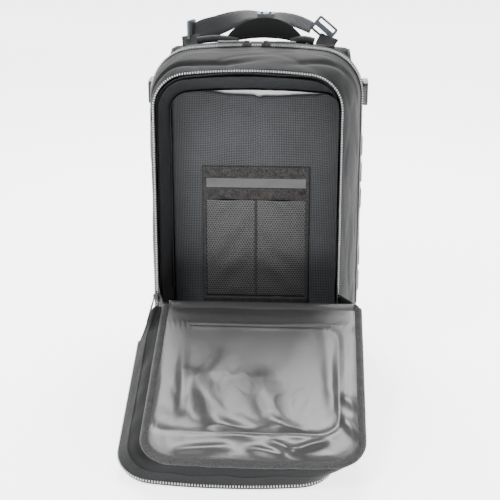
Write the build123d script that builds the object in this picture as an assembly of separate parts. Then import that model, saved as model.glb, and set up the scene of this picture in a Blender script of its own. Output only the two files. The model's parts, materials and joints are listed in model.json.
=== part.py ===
"""Trauma backpack: a zipped main compartment behind a front compartment whose panel unzips and folds down.

The frame's origin is the centre of the flat base. +Z is up and +Y points to the wearer's back, so the
front panel faces -Y. The front panel and what is sewn to it are drawn closed and then turned open about
the fold, which is how the pack is stored here.
"""
from build123d import *
from math import cos, radians, sin
import os

# ---- driving dimensions, millimetres -------------------------------------------------------------
MAIN_HALF = 144.0          # half width of the main compartment
MAIN_TOP = 462.0           # crown of the main compartment above the floor
MAIN_CORNER = 60.0         # its top corners
MAIN_CROWN = 12.0          # how much its top edge rises between the corners
MOUTH_HALF = 124.0         # half width of the front compartment's zipped mouth
MOUTH_X = -8.0             # the unzipped mouth leans a little to the left
MOUTH_TOP = 440.0
MOUTH_CORNER = 46.0
MOUTH_CROWN = 10.0
FRONT_Y = -112.0           # outer face of the closed front panel
MOUTH_Y = -64.0            # plane in which the front zipper closes
MOUTH_REAR = MOUTH_Y + 6.0 # rear edge of the mouth's zipper tape, where the gusset is sewn on
DIVIDER_Y = 9.0            # front face of the panel between the two compartments
MAIN_ZIP_Y = 17.0          # plane of the main zipper
BACK_Y = 112.0             # outer face of the back panel
BACK_TOP = 452.0           # the top slopes down to this height at the back
FOLD_Z = 135.0             # height of the line that the front panel folds on
OPEN_SLOPE = 20.5          # the open flap slopes down this many degrees towards its tip
FABRIC = 2.5               # padded wall of the shells
SHEET = 1.2                # single layer of cloth or tape
BOTTOM_CORNER = 18.0
BASE_TRIM = 0.6            # the gusset is drawn this much too deep and cut off flat at the floor

FLAP_HALF = 133.0
FLAP_X = 14.0              # the front panel hangs a little to the right of the mouth
FLAP_LENGTH = 283.0        # from the fold to the tip of the panel
FLAP_CORNER = 42.0
HINGE_GAP = 3.0            # bare cloth between the fold and the stiffened panel
POUCH_LEFT, POUCH_RIGHT = -92.0, 94.0
POUCH_FROM, POUCH_TO = 48.0, 240.0   # reach of the outer pouch along the flap, from the fold
POUCH_DEPTH = 50.2
WEB = 1.5                  # thickness of 25 mm webbing
WEB_WIDTH = 25.0

RIM_FROM = 48.0            # the stiff part of the flap's zipper edge starts this far above the fold
RIM_SHIFT = (-9.0, -75.0, -18.0)     # how far the loose zipper edge of the open flap hangs from its zipped place
RIM_TAPE = 9.0             # width of its tape
OPEN_ANGLE = 90.0 + OPEN_SLOPE

ZIP_BEAD = 3.4             # width of one row of teeth along Y
ZIP_RISE = 2.4             # height of the teeth over the tape
ZIP_LOW = 118.0            # lower end of the front zipper
MAIN_ZIP_LOW = 96.0        # lower end of the main zipper

STRAP_THICK = 11.0
STRAP_TURN = 9.5           # inner radius with which a strap turns over at the top seam
STRAP_TURN_Y = 134.0       # the middle of that turn, which the strap swings about
STRAP_TURN_Z = 425.5
STRAP_OUT_Y = STRAP_TURN_Y + STRAP_TURN + STRAP_THICK
STRAP_END_X, STRAP_END_Y, STRAP_END_Z = 77.0, 139.5, 172.0
KEEPER_X = 92.0
RING_Z = 358.0             # pivot of the strap's D-ring
STERNUM_Z = 318.0          # pivot of the sternum strap
STERNUM_Y = STRAP_OUT_Y + 4.8

HANDLE_X, HANDLE_Y, HANDLE_SEAM_Z = 7.0, 103.0, 454.5
HANDLE_HALF = 60.0
HANDLE_RISE = 37.0
HANDLE_LEAN = 10.0
YOKE_Y = 127.0             # middle of the webbing that crosses over the handle
WEB_LEAN = 12.0            # its front edge is this many degrees lower than its rear edge


def outline(half, top, corner, crown, x=0.0, bottom=0.0, y=0.0, low_corner=BOTTOM_CORNER):
    """Face in a plane of constant Y: flat bottom, straight sides, round corners and a crowned top."""
    base = Polyline(
        (x - half, top - crown), (x - half, bottom), (x + half, bottom), (x + half, top - crown)
    )
    arch = ThreePointArc((x + half, top - crown), (x, top), (x - half, top - crown))
    face = make_face([*base.edges(), *arch.edges()])
    ups = [v for v in face.vertices() if v.Y > (top + bottom) / 2]
    face = fillet(ups, corner)
    lows = [v for v in face.vertices() if v.Y < bottom + 0.01]
    face = fillet(lows, low_corner)
    return Plane(origin=(0, y, 0), x_dir=(1, 0, 0), z_dir=(0, -1, 0)) * face


def along_y(face, length):
    return extrude(face, amount=length, dir=(0, 1, 0))


def main_outline(y, inset=0.0, bottom=None):
    low = inset if bottom is None else bottom
    return outline(
        MAIN_HALF - inset, MAIN_TOP - inset, MAIN_CORNER - inset, MAIN_CROWN, y=y, bottom=low,
        low_corner=max(BOTTOM_CORNER - inset, 4.0),
    )


def mouth_outline(y, inset=0.0, x=MOUTH_X, top=MOUTH_TOP, bottom=None):
    low = max(inset, 0.0) if bottom is None else bottom
    return outline(
        MOUTH_HALF - inset, top - inset, MOUTH_CORNER - inset, MOUTH_CROWN, x=x, y=y, bottom=low,
        low_corner=max(BOTTOM_CORNER - inset, 4.0),
    )


def block(x0, x1, y0, y1, z0, z1):
    """Box between two corners."""
    return Pos((x0 + x1) / 2, (y0 + y1) / 2, (z0 + z1) / 2) * Box(x1 - x0, y1 - y0, z1 - z0)


def tapered(front, rear):
    """Straight-sided solid between two outlines."""
    return loft([front, rear], ruled=True)


def above(shape, z):
    """The part of a shape over height z."""
    return shape & block(-400, 400, -400, 400, z, 900)


def rounded(x0, x1, y0, y1, z0, z1, axis, radius):
    """Box whose edges along one axis are rounded."""
    solid = block(x0, x1, y0, y1, z0, z1)
    return fillet(solid.edges().filter_by(axis), radius)


def soft_slab(x0, x1, y0, y1, z0, z1, corner, edge):
    """Foam slab across Y, with round corners and softened edges on its -Y and +Y faces."""
    solid = rounded(x0, x1, y0, y1, z0, z1, Axis.Y, corner)
    rim = solid.faces().sort_by(Axis.Y)[-1].edges()
    return fillet(rim, edge)


def opened(shape):
    """A piece of the closed flap, turned open about the fold."""
    fold = Axis((0, FRONT_Y, FOLD_Z), (1, 0, 0))
    return shape.rotate(fold, OPEN_ANGLE)


# ---- main compartment and back ---------------------------------------------------------------------
def rear_outline(y, inset=0.0):
    """The main compartment's outline at depth y behind its zipper. The top slopes down to the back."""
    share = (y - MAIN_ZIP_Y) / (BACK_Y - MAIN_ZIP_Y)
    top = MAIN_TOP + (BACK_TOP - MAIN_TOP) * share
    return outline(
        MAIN_HALF - inset, top - inset, MAIN_CORNER - inset, MAIN_CROWN, y=y, bottom=inset,
        low_corner=BOTTOM_CORNER - inset,
    )


def rear_shell():
    """Side, top and bottom wall of the main compartment, from the main zipper to the back panel."""
    y0, y1 = MAIN_ZIP_Y + 3.0, BACK_Y - 6.0
    wall = tapered(rear_outline(y0), rear_outline(y1)) - tapered(rear_outline(y0, FABRIC), rear_outline(y1, FABRIC))
    ring = along_y(main_outline(y0 - 6.0), 6.0) - along_y(main_outline(y0 - 7.0, FABRIC), 8.0)
    return wall + (ring - above(ring, MAIN_ZIP_LOW))


def back_panel():
    return tapered(rear_outline(BACK_Y - 6.0), rear_outline(BACK_Y))


def back_pads():
    """Two long pads and a lumbar pad on the wearer's side."""
    y0, y1 = BACK_Y, BACK_Y + 9.0
    left = soft_slab(-98, -14, y0, y1, 128, 402, 22, 4)
    right = soft_slab(14, 98, y0, y1, 128, 402, 22, 4)
    lumbar = soft_slab(-98, 98, y0, y1, 34, 116, 22, 4)
    return [left, right, lumbar]


def frame_sheet():
    """Stiff plastic sheet that keeps the back flat."""
    return rounded(-120, 120, BACK_Y - 7.6, BACK_Y - 6.0, 12, 425, Axis.Y, 34)


def hydration_sleeve():
    """Open-topped pocket inside the main compartment for a water bladder or splints."""
    outer = rounded(-112, 112, BACK_Y - 22.0, BACK_Y - 7.6, 10, 320, Axis.Y, 14)
    hollow = block(-110, 110, BACK_Y - 20.5, BACK_Y - 9.1, 12, 400)
    return outer - hollow


def base_pad():
    """Foam floor of the main compartment."""
    return rounded(-118, 118, MAIN_ZIP_Y + 8, BACK_Y - 24, FABRIC, FABRIC + 5, Axis.Z, 12)


def main_zip_tape():
    wide = along_y(main_outline(MAIN_ZIP_Y - 3.0, -0.1), 6.0)
    return above(wide - along_y(main_outline(MAIN_ZIP_Y - 4.0, SHEET), 8.0), MAIN_ZIP_LOW)


def main_zip_teeth():
    rows = []
    for y in (MAIN_ZIP_Y - 0.1 - 2.3, MAIN_ZIP_Y + 0.1):
        row = along_y(main_outline(y, -ZIP_RISE), 2.3) - along_y(main_outline(y - 1, -0.1), 4.3)
        rows.append(above(row, MAIN_ZIP_LOW))
    return rows


# ---- front compartment -------------------------------------------------------------------------------
def front_gusset():
    """Outer wall between the mouth and the main zipper. It widens towards the back. Its flat bottom is the base."""
    y0, y1 = MOUTH_REAR, MAIN_ZIP_Y - 3.0
    outer = tapered(mouth_outline(y0, bottom=-BASE_TRIM), main_outline(y1, bottom=-BASE_TRIM))
    inner = tapered(mouth_outline(y0, FABRIC), main_outline(y1, FABRIC))
    return above(outer - inner, 0.0)


def front_lining():
    """Inner wall of the front compartment, which narrows from the mouth to the divider."""
    y0, y1 = MOUTH_REAR, DIVIDER_Y
    front = mouth_outline(y0, FABRIC + 0.5)
    front_in = mouth_outline(y0, FABRIC + 0.5 + SHEET)
    rear = outline(118, 404, 26, 6, y=y1, bottom=6, low_corner=12)
    rear_in = outline(118 - SHEET, 404 - SHEET, 25, 6, y=y1, bottom=6 + SHEET, low_corner=11)
    return tapered(front, rear) - tapered(front_in, rear_in)


def front_lower_panel():
    """The part of the front compartment below the fold, which stays up: a shallow bucket open at its top."""
    def body(inset):
        rear = mouth_outline(MOUTH_REAR, inset)
        front = outline(
            FLAP_HALF - inset, MOUTH_TOP - inset, MOUTH_CORNER - inset, MOUTH_CROWN, x=FLAP_X,
            y=FRONT_Y + inset, bottom=inset, low_corner=BOTTOM_CORNER - inset,
        )
        return loft([front, rear], ruled=True)

    shell = body(0.0) - body(FABRIC)
    notch = block(-400, 400, MOUTH_Y - 6.5, MOUTH_REAR + 1, ZIP_LOW - 3.0, FOLD_Z)
    return (shell & block(-400, 400, -400, 400, -1, FOLD_Z - 1.0)) - notch


def divider_panel():
    """Wall between the compartments. Its top edge is left unsewn and hangs below the top of the lining."""
    panel = outline(116.5, 397, 22, 5, y=DIVIDER_Y, bottom=8, low_corner=10)
    return along_y(panel, SHEET)


def slip_pocket_lining():
    """Pale coated sheet of the slip pocket behind the divider."""
    panel = outline(112, 420, 30, 6, y=DIVIDER_Y + 3.2, bottom=40, low_corner=10)
    return along_y(panel, 0.8)


ORGANISER_HALF = 75.0
ORGANISER_ROWS = (91.0, 105.0, 248.0, 265.0, 279.0, 296.0)   # edges of its bands, from the bottom up


def organiser_backing():
    """Clear-faced card pocket that the rest of the organiser is sewn over."""
    low, high = ORGANISER_ROWS[0], ORGANISER_ROWS[-1]
    return block(-ORGANISER_HALF, ORGANISER_HALF, DIVIDER_Y - 0.8, DIVIDER_Y, low, high)


def organiser_strips():
    """Two bands of loop tape across the top of the pockets."""
    bands = []
    for low, high in ((ORGANISER_ROWS[4], ORGANISER_ROWS[5]), (ORGANISER_ROWS[2], ORGANISER_ROWS[3])):
        bands.append(block(-ORGANISER_HALF, ORGANISER_HALF, DIVIDER_Y - 2.6, DIVIDER_Y - 0.8, low, high))
    return bands


def mesh_pockets():
    """Two mesh pockets side by side, each open at the top under the loop tape's edge."""
    low, high = ORGANISER_ROWS[1], ORGANISER_ROWS[2]
    pockets = []
    for x0, x1 in ((-ORGANISER_HALF + 4, -0.6), (0.6, ORGANISER_HALF - 4)):
        outer = block(x0, x1, DIVIDER_Y - 8.0, DIVIDER_Y - 0.8, low, high)
        pockets.append(outer - block(x0 + 1, x1 - 1, DIVIDER_Y - 7.0, DIVIDER_Y - 1.4, low + 1, high + 1))
    return pockets


def organiser_binding():
    """Bound side edges and bottom hem of the organiser."""
    low, high = ORGANISER_ROWS[0], ORGANISER_ROWS[2]
    hem = block(-ORGANISER_HALF, ORGANISER_HALF, DIVIDER_Y - 2.4, DIVIDER_Y - 0.8, low, ORGANISER_ROWS[1])
    left = block(-ORGANISER_HALF, -ORGANISER_HALF + 4, DIVIDER_Y - 2.4, DIVIDER_Y - 0.8, ORGANISER_ROWS[1], high)
    right = block(ORGANISER_HALF - 4, ORGANISER_HALF, DIVIDER_Y - 2.4, DIVIDER_Y - 0.8, ORGANISER_ROWS[1], high)
    return [hem, left, right]


def front_zip_tape():
    y0 = MOUTH_Y + 0.4
    width = MOUTH_REAR - y0
    band = along_y(mouth_outline(y0, 0.4), width) - along_y(mouth_outline(y0 - 1, 0.4 + SHEET), width + 2)
    return above(band, ZIP_LOW)


def zip_bead(y0):
    """One row of teeth of the front zipper, as a plain bead outside the tape."""
    bead = along_y(mouth_outline(y0, -ZIP_RISE + 0.4), ZIP_BEAD) - along_y(mouth_outline(y0 - 1, 0.4), ZIP_BEAD + 2)
    return above(bead, ZIP_LOW)


def front_zip_teeth():
    return zip_bead(MOUTH_Y + 0.3)


# ---- front flap: drawn closed, then turned open -------------------------------------------------------
def flap_outline(y, inset, low):
    return outline(
        FLAP_HALF - inset, FOLD_Z + FLAP_LENGTH - inset, FLAP_CORNER - inset, 4.0, x=FLAP_X, y=y,
        bottom=FOLD_Z + low, low_corner=3.0,
    )


def flap_panel():
    return opened(along_y(flap_outline(FRONT_Y - 2.5, 0.0, HINGE_GAP), 2.5))


def flap_lining():
    return opened(along_y(flap_outline(FRONT_Y, 13.0, HINGE_GAP), 1.0))


def flap_binding():
    """Tape bound round the three free edges of the panel."""
    band = along_y(flap_outline(FRONT_Y, 0.0, HINGE_GAP), 1.6) - along_y(flap_outline(FRONT_Y - 1, 12.8, -20), 4)
    return opened(band)


def pouch_shell():
    """Deep pouch sewn to the outside of the flap."""
    y1 = FRONT_Y - 2.5
    y0 = y1 - POUCH_DEPTH
    outer = rounded(POUCH_LEFT, POUCH_RIGHT, y0, y1, FOLD_Z + POUCH_FROM, FOLD_Z + POUCH_TO, Axis.Y, 24)
    outer = fillet(outer.faces().sort_by(Axis.Y)[0].edges(), 7)
    hollow = rounded(
        POUCH_LEFT + 2, POUCH_RIGHT - 2, y0 + 2, y1 - 2, FOLD_Z + POUCH_FROM + 2, FOLD_Z + POUCH_TO - 2, Axis.Y, 22
    )
    hollow = fillet(hollow.faces().sort_by(Axis.Y)[0].edges(), 5)
    return opened(outer - hollow)


POUCH_ZIP_Y = FRONT_Y - 2.5 - 30.0   # plane of the pouch's zipper, across its tip-side wall


def pouch_zip():
    """Tape and teeth of the pouch's zipper, along the wall nearest the flap's tip."""
    z = FOLD_Z + POUCH_TO
    tape = block(POUCH_LEFT + 26, POUCH_RIGHT - 26, POUCH_ZIP_Y - 8, POUCH_ZIP_Y + 8, z, z + 0.8)
    teeth = block(POUCH_LEFT + 28, POUCH_RIGHT - 28, POUCH_ZIP_Y - 2.3, POUCH_ZIP_Y + 2.3, z + 0.8, z + 2.8)
    return [opened(tape), opened(teeth)]


def pouch_molle():
    """Rows of webbing on the face of the pouch."""
    y1 = FRONT_Y - 2.5 - POUCH_DEPTH
    rows = []
    for k in range(4):
        z0 = FOLD_Z + POUCH_TO - 8.5 - WEB_WIDTH - k * 44.0
        rows.append(opened(block(POUCH_LEFT + 9, POUCH_RIGHT - 9, y1 - WEB, y1, z0, z0 + WEB_WIDTH)))
    return rows


def id_patch():
    """Blank loop-tape field on the pouch, between two rows of webbing."""
    y1 = FRONT_Y - 2.5 - POUCH_DEPTH
    z0 = FOLD_Z + POUCH_TO - 8.5 - WEB_WIDTH - 17.5
    return opened(block(-42, 30, y1 - 1.0, y1, z0, z0 + 16))


# ---- the flap's loose zipper edge ----------------------------------------------------------------------
def hung(shape):
    """A piece of the flap's zipper edge, moved from its zipped place to where it hangs when open."""
    return opened(Pos(*RIM_SHIFT) * shape)


def rim_zip_tape():
    y0 = MOUTH_Y - 0.4 - RIM_TAPE
    band = along_y(mouth_outline(y0, 0.4), RIM_TAPE) - along_y(mouth_outline(y0 - 1, 0.4 + SHEET), RIM_TAPE + 2)
    return hung(above(band, FOLD_Z + RIM_FROM))


def rim_zip_teeth():
    bead = zip_bead(MOUTH_Y - 0.3 - ZIP_BEAD)
    return hung(above(bead, FOLD_Z + RIM_FROM))


def flap_gusset():
    """Cloth wall from the edge of the flap's panel to its loose zipper edge."""
    near, far = FRONT_Y - 2.6, FRONT_Y - 11.0
    top = MOUTH_TOP + RIM_SHIFT[2]

    def wall(inset):
        panel_side = outline(
            FLAP_HALF - inset, FOLD_Z + FLAP_LENGTH - inset, FLAP_CORNER - inset, 4.0, x=FLAP_X, y=near,
            bottom=20 + inset,
        )
        rim_side = mouth_outline(far, 0.4 + inset, MOUTH_X + RIM_SHIFT[0], top)
        return loft([rim_side, panel_side], ruled=True)

    return opened(above(wall(0.0) - wall(SHEET), FOLD_Z + 26))


# ---- zipper sliders and pulls -----------------------------------------------------------------------------
PULL_LENGTH = 40.0
LUG_HEIGHT = 5.4           # height of the pull's pivot over the tape
PULL_TILT = 16.0           # how far a hanging pull of the front zipper stands off the wall, in degrees


def slider(channel):
    """Slider over a track that runs along local X. Local Z points away from the tape."""
    width = channel + 3.2
    body = Pos(0, 0, 2.3) * Box(12, width, 4.0)
    body = fillet(body.edges().filter_by(Axis.Z), 1.6)
    body -= Pos(0, 0, 1.45) * Box(14, channel, 2.9)
    lug = Pos(0, 0, 5.5) * Box(7.0, 2.0, 3.6)
    lug = fillet(lug.faces().sort_by(Axis.Z)[-1].edges().filter_by(Axis.Y), 1.6)
    pivot = Pos(0, 0, LUG_HEIGHT) * Rot(90, 0, 0) * Cylinder(1.15, 6)
    return (body + lug) - pivot


def pull():
    """Forked pull that lies along local +X from its pivot in the slider's lug."""
    pin = Pos(0, 0, LUG_HEIGHT) * Rot(90, 0, 0) * Cylinder(1.05, 5.6)
    arms = Pos(6.8, 2.0, LUG_HEIGHT) * Box(14.4, 1.4, 2.0) + Pos(6.8, -2.0, LUG_HEIGHT) * Box(14.4, 1.4, 2.0)
    tab = Pos(13.0 + (PULL_LENGTH - 13.0) / 2, 0, LUG_HEIGHT) * Box(PULL_LENGTH - 13.0, 7.0, 2.6)
    tab = fillet(tab.edges().filter_by(Axis.Z), 2.4)
    return pin + arms + tab


def crown_radius():
    """Radius of the main compartment's crowned top edge."""
    return (MAIN_HALF**2 + MAIN_CROWN**2) / (2 * MAIN_CROWN)


SLIDER_ANGLE = 0.85        # each main slider sits this many degrees from the crown


def on_crown(shape, side):
    """A slider or pull of the main zipper. side is -1 for the left one and 1 for the right one."""
    facing = shape if side > 0 else shape.rotate(Axis.Z, 180)
    placed = Pos(0, MAIN_ZIP_Y, MAIN_TOP + 0.1) * facing
    centre = Axis((0, 0, MAIN_TOP - crown_radius()), (0, 1, 0))
    return placed.rotate(centre, side * SLIDER_ANGLE)


def on_mouth(shape, side, tilt=0.0):
    """A slider or pull of the front zipper, parked at its lower end. The pull hangs down, tilted off the wall."""
    x = MOUTH_X + side * (MOUTH_HALF - 0.4)
    plane = Plane(origin=(x, MOUTH_Y, ZIP_LOW + 9.0), x_dir=(0, 0, -1), z_dir=(side, 0, 0))
    return plane * shape.rotate(Axis((0, 0, LUG_HEIGHT), (0, 1, 0)), -tilt)


def on_pouch(shape):
    """The pouch's slider or pull, near the left end of its zipper."""
    plane = Plane(origin=(POUCH_LEFT + 40, POUCH_ZIP_Y, FOLD_Z + POUCH_TO + 0.8), x_dir=(-1, 0, 0), z_dir=(0, 0, 1))
    return opened(plane * shape)


# ---- haul handle ---------------------------------------------------------------------------------------------
def haul_handle():
    """Wide flat grab loop that stands on the top seam and leans back."""
    def arch(half, height):
        curve = ThreePointArc((half, 0), (0, height), (-half, 0))
        return make_face([*Line((-half, 0), (half, 0)).edges(), *curve.edges()])

    band = arch(HANDLE_HALF, HANDLE_RISE) - arch(HANDLE_HALF - 10, 7)
    plane = Plane(origin=(HANDLE_X, HANDLE_Y, HANDLE_SEAM_Z), x_dir=(1, 0, 0), z_dir=(0, -1, 0))
    solid = extrude(plane * band, amount=2.0, both=True)
    return solid.rotate(Axis((0, HANDLE_Y, HANDLE_SEAM_Z), (1, 0, 0)), -HANDLE_LEAN)


# ---- shoulder straps ---------------------------------------------------------------------------------------------
def strap_profile():
    """Face in the YZ plane of a strap that leaves the top seam, turns over and hangs down the back."""
    top = STRAP_TURN_Z + STRAP_TURN
    over = ThreePointArc(
        (STRAP_TURN_Y - STRAP_TURN, STRAP_TURN_Z), (STRAP_TURN_Y, top), (STRAP_TURN_Y + STRAP_TURN, STRAP_TURN_Z)
    )
    hang = Line(over @ 1, (STRAP_TURN_Y + STRAP_TURN, 300))
    tail = TangentArc(hang @ 1, (STRAP_TURN_Y, STRAP_END_Z), tangent=(0, -1))
    path = Wire([*over.edges(), *hang.edges(), *tail.edges()])
    return make_face(path.offset_2d(STRAP_THICK, side=Side.LEFT).edges())


def strap_pad(side):
    """Padded strap, curving outwards from the neck to the arm."""
    slab = extrude(Plane.YZ * strap_profile(), amount=200, both=True)
    near = ThreePointArc((56, 460), (64, 320), (STRAP_END_X - 25, 160))
    far = ThreePointArc((124, 460), (132, 290), (STRAP_END_X + 25, 160))
    plan = make_face([*near.edges(), *Line(near @ 1, far @ 1).edges(), *far.edges(), *Line(near @ 0, far @ 0).edges()])
    front = Plane(origin=(0, 0, 0), x_dir=(1, 0, 0), z_dir=(0, -1, 0)) * plan
    pad = (slab & extrude(front, amount=300, dir=(0, 1, 0))).solid()
    keepers = [keeper(1, RING_Z + 14), keeper(1, STERNUM_Z)]
    return [piece if side > 0 else mirror(piece, about=Plane.YZ) for piece in (pad, *keepers)]


def ladder_lock():
    """Two-slot webbing adjuster for 25 mm webbing, lying in the XZ plane."""
    plate = Box(34, 4.0, 24)
    plate = fillet(plate.edges().filter_by(Axis.Y), 3.5)
    for z in (-6.2, 6.2):
        plate -= Pos(0, 0, z) * Box(26.5, 8, 5.0)
    return plate


def strap_adjuster(side):
    """Adjuster at the lower end of a strap."""
    return Pos(side * STRAP_END_X, STRAP_END_Y, STRAP_END_Z - 15.0) * ladder_lock()


def yoke_locks():
    """Adjusters on the shoulders. The right one lies askew and the left one stands on edge."""
    right = Pos(92, YOKE_Y, 472) * Rot(0, 40, 0) * ladder_lock()
    left = Pos(-100, YOKE_Y, 467) * Rot(0, 0, 72) * Rot(0, 90, 0) * ladder_lock()
    return [left, right]


def d_ring(side):
    """D-ring that hangs on a keeper on the front of a strap."""
    bar = Rot(0, 90, 0) * Cylinder(1.6, 26)
    bow = Rot(90, 0, 0) * Torus(13 - 1.6, 1.6)
    bow &= block(-20, 20, -5, 5, -20, 0)
    return Pos(side * KEEPER_X, STRAP_OUT_Y + 4.5, RING_Z) * (bar + bow)


def keeper(side, z):
    """Webbing keeper sewn across a strap, which holds a D-ring or a sternum strap."""
    x = side * KEEPER_X
    return block(x - 11, x + 11, STRAP_OUT_Y, STRAP_OUT_Y + 1.2, z - 12, z + 12)


def sternum_webbing(side):
    """Half of the sternum strap, hanging down from its pivot on a shoulder strap."""
    x = side * KEEPER_X
    return block(x - 10, x + 10, STERNUM_Y - WEB / 2, STERNUM_Y + WEB / 2, STERNUM_Z - 46, STERNUM_Z + 6)


def sternum_buckle(side):
    """Half of the sternum strap's side-release buckle: the socket on the left and the plug on the right."""
    x, y, z = side * KEEPER_X, STERNUM_Y, STERNUM_Z - 46
    if side < 0:
        socket = rounded(x - 14, x + 14, y - 4, y + 4, z - 30, z, Axis.Y, 4)
        return socket - block(x - 11, x + 11, y - 2.4, y + 2.4, z - 31, z - 6)
    plug = rounded(x - 14, x + 14, y - 3.5, y + 3.5, z - 10, z, Axis.Y, 3)
    for dx in (-8.6, 0.0, 8.6):
        plug += block(x + dx - 1.9, x + dx + 1.9, y - 2.0, y + 2.0, z - 30, z - 9)
    return plug


def lower_webbings():
    """Webbing from each strap's adjuster to the tab at the bottom of the back."""
    webs = []
    for side in (-1, 1):
        start = (side * STRAP_END_X, STRAP_END_Y, STRAP_END_Z - 33.0)
        end = (side * 116, BACK_Y + 12.0, 52.0)
        run = Vector(*end) - Vector(*start)
        plane = Plane(origin=start, x_dir=(1, 0, 0), z_dir=tuple(run))
        webs.append(extrude(plane * Rectangle(WEB_WIDTH, WEB), amount=run.length))
    return webs


def anchor_tabs():
    """Triangular tabs in the lower corners of the back, which hold the straps' webbing."""
    tabs = []
    for side in (-1, 1):
        face = make_face(Polyline(
            (side * 88, 18), (side * 139, 18), (side * 139, 60), (side * 124, 60), (side * 88, 18)
        ).edges())
        plane = Plane(origin=(0, BACK_Y + 9.0, 0), x_dir=(1, 0, 0), z_dir=(0, -1, 0))
        tabs.append(extrude(plane * face, amount=9.0, dir=(0, -1, 0)) - back_pads()[2])
    return tabs


def yoke_webbings():
    """Webbing from each shoulder's adjuster over to the middle, turned a little towards the front."""
    left = ThreePointArc((-92, 478), (-46, 495), (-4, 493))
    right = ThreePointArc((20, 493), (46, 490), (69, 482))
    webs = []
    for arc in (left, right):
        lower = arc.edges()[0]
        upper = lower.moved(Location((0, WEB, 0)))
        face = make_face([lower, upper, *Line(lower @ 0, upper @ 0).edges(), *Line(lower @ 1, upper @ 1).edges()])
        plane = Plane(origin=(0, YOKE_Y - 11, -4), x_dir=(1, 0, 0), z_dir=(0, -1, 0))
        webs.append(extrude(plane * face, amount=WEB_WIDTH, dir=(0, cos(radians(WEB_LEAN)), sin(radians(WEB_LEAN)))))
    return webs


def yoke_anchors():
    """Wide webbing from the top seam up to each shoulder's adjuster."""
    anchors = []
    for x in (-98.0, 94.0):
        profile = Polyline((107, 450), (114.2, 453.6), (114.8, 452.4), (108, 448.8), close=True)
        face = make_face(Plane.YZ * profile)
        anchors.append(Pos(x - 14, 0, 0) * extrude(face, amount=28, dir=(1, 0, 0)))
    return anchors


def yoke_triglide():
    """Tri-glide that joins the two yoke webbings over the haul handle."""
    plate = block(-4.0, 20.0, YOKE_Y - 15, YOKE_Y + 15, 489.0, 494.5)
    plate = fillet(plate.edges().filter_by(Axis.Z), 3)
    for x in (2.0, 14.0):
        plate -= block(x - 2.2, x + 2.2, YOKE_Y - 13, YOKE_Y + 13, 480, 500)
    return plate


# ---- side compression straps ---------------------------------------------------------------------------------------
SIDE_STRAP_Z = 392.0          # height of the one compression strap on each side
BUCKLE_X = MAIN_HALF + 6.8    # middle of the buckles, off the side wall
BUCKLE_Y = 46.0               # front end of the buckles, which sit behind the main zipper
BUCKLE_HALF = 16.0            # half the height of either half of a buckle
FRONT_SEAM_Y = 28.0           # where the webbing is sewn to the wall, behind the main zipper
REAR_SEAM_Y = BACK_Y - 6.0
SEAM_LENGTH = 8.0
WEB_LIFT = 1.6                # the sewn end's middle, off the wall

SOCKET_Y = BUCKLE_Y + 14.0
SOCKET_LENGTH = 32.0
SOCKET_HALF = 4.0             # half the sockets' thickness
SOCKET_HOLLOW = (2.4, 26.0, 12.5)   # half thickness, depth and half height of the space for the prongs

PLUG_HALF = 3.2
PLUG_BAR = 13.4               # length of the plug's webbing bar, ahead of its prongs
PLUG_SLOT = (3.5, 6.5, 13.2)  # front, rear and half height of the slot for the webbing
PRONG = (1.9, 2.2)            # half thickness and half height
PRONG_SPAN = (12.0, 37.0)     # from and to, behind the plug's front end
PRONG_PITCH = 9.4


def side_rear_webbing():
    """Webbing from the rear of each side wall to the sockets."""
    webs = []
    low, high = SIDE_STRAP_Z - WEB_WIDTH / 2, SIDE_STRAP_Z + WEB_WIDTH / 2
    seam_start = REAR_SEAM_Y - SEAM_LENGTH
    for side in (-1, 1):
        x0, x1 = sorted((side * (BUCKLE_X - WEB / 2), side * (BUCKLE_X + WEB / 2)))
        webs.append(block(x0, x1, SOCKET_Y + SOCKET_LENGTH, seam_start, low, high))
        root0, root1 = sorted((side * MAIN_HALF, side * (BUCKLE_X + WEB / 2)))
        webs.append(block(root0, root1, seam_start, REAR_SEAM_Y, low, high))
    return webs


def side_sockets():
    """Female halves of the side-release buckles."""
    half, depth, height = SOCKET_HOLLOW
    y0, y1 = SOCKET_Y, SOCKET_Y + SOCKET_LENGTH
    low, high = SIDE_STRAP_Z - BUCKLE_HALF, SIDE_STRAP_Z + BUCKLE_HALF
    found = []
    for side in (-1, 1):
        x = side * BUCKLE_X
        body = rounded(x - SOCKET_HALF, x + SOCKET_HALF, y0, y1, low, high, Axis.X, 5)
        found.append(body - block(x - half, x + half, y0 - 1, y0 + depth, SIDE_STRAP_Z - height, SIDE_STRAP_Z + height))
    return found


def side_plug(side):
    """Male half of a side-release buckle: a webbing bar with a guide and two latch arms."""
    x, y, z = side * BUCKLE_X, BUCKLE_Y, SIDE_STRAP_Z
    bar = rounded(x - PLUG_HALF, x + PLUG_HALF, y, y + PLUG_BAR, z - BUCKLE_HALF, z + BUCKLE_HALF, Axis.X, 4)
    front, rear, height = PLUG_SLOT
    bar -= block(x - 2 * PLUG_HALF, x + 2 * PLUG_HALF, y + front, y + rear, z - height, z + height)
    half, tall = PRONG
    for dz in (-PRONG_PITCH, 0.0, PRONG_PITCH):
        bar += block(x - half, x + half, y + PRONG_SPAN[0], y + PRONG_SPAN[1], z + dz - tall, z + dz + tall)
    return bar


def side_front_webbing():
    """Webbing from the wall behind the main zipper to the plugs; the photo shows none in front of the zipper."""
    webs = []
    for side in (-1, 1):
        start = Vector(side * (MAIN_HALF + WEB_LIFT), FRONT_SEAM_Y, SIDE_STRAP_Z)
        run = Vector(side * BUCKLE_X, BUCKLE_Y - 0.6, SIDE_STRAP_Z) - start
        plane = Plane(origin=start, x_dir=(0, 0, 1), z_dir=run)
        webs.append(extrude(plane * Rectangle(WEB_WIDTH, WEB), amount=run.length))
    return webs


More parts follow.
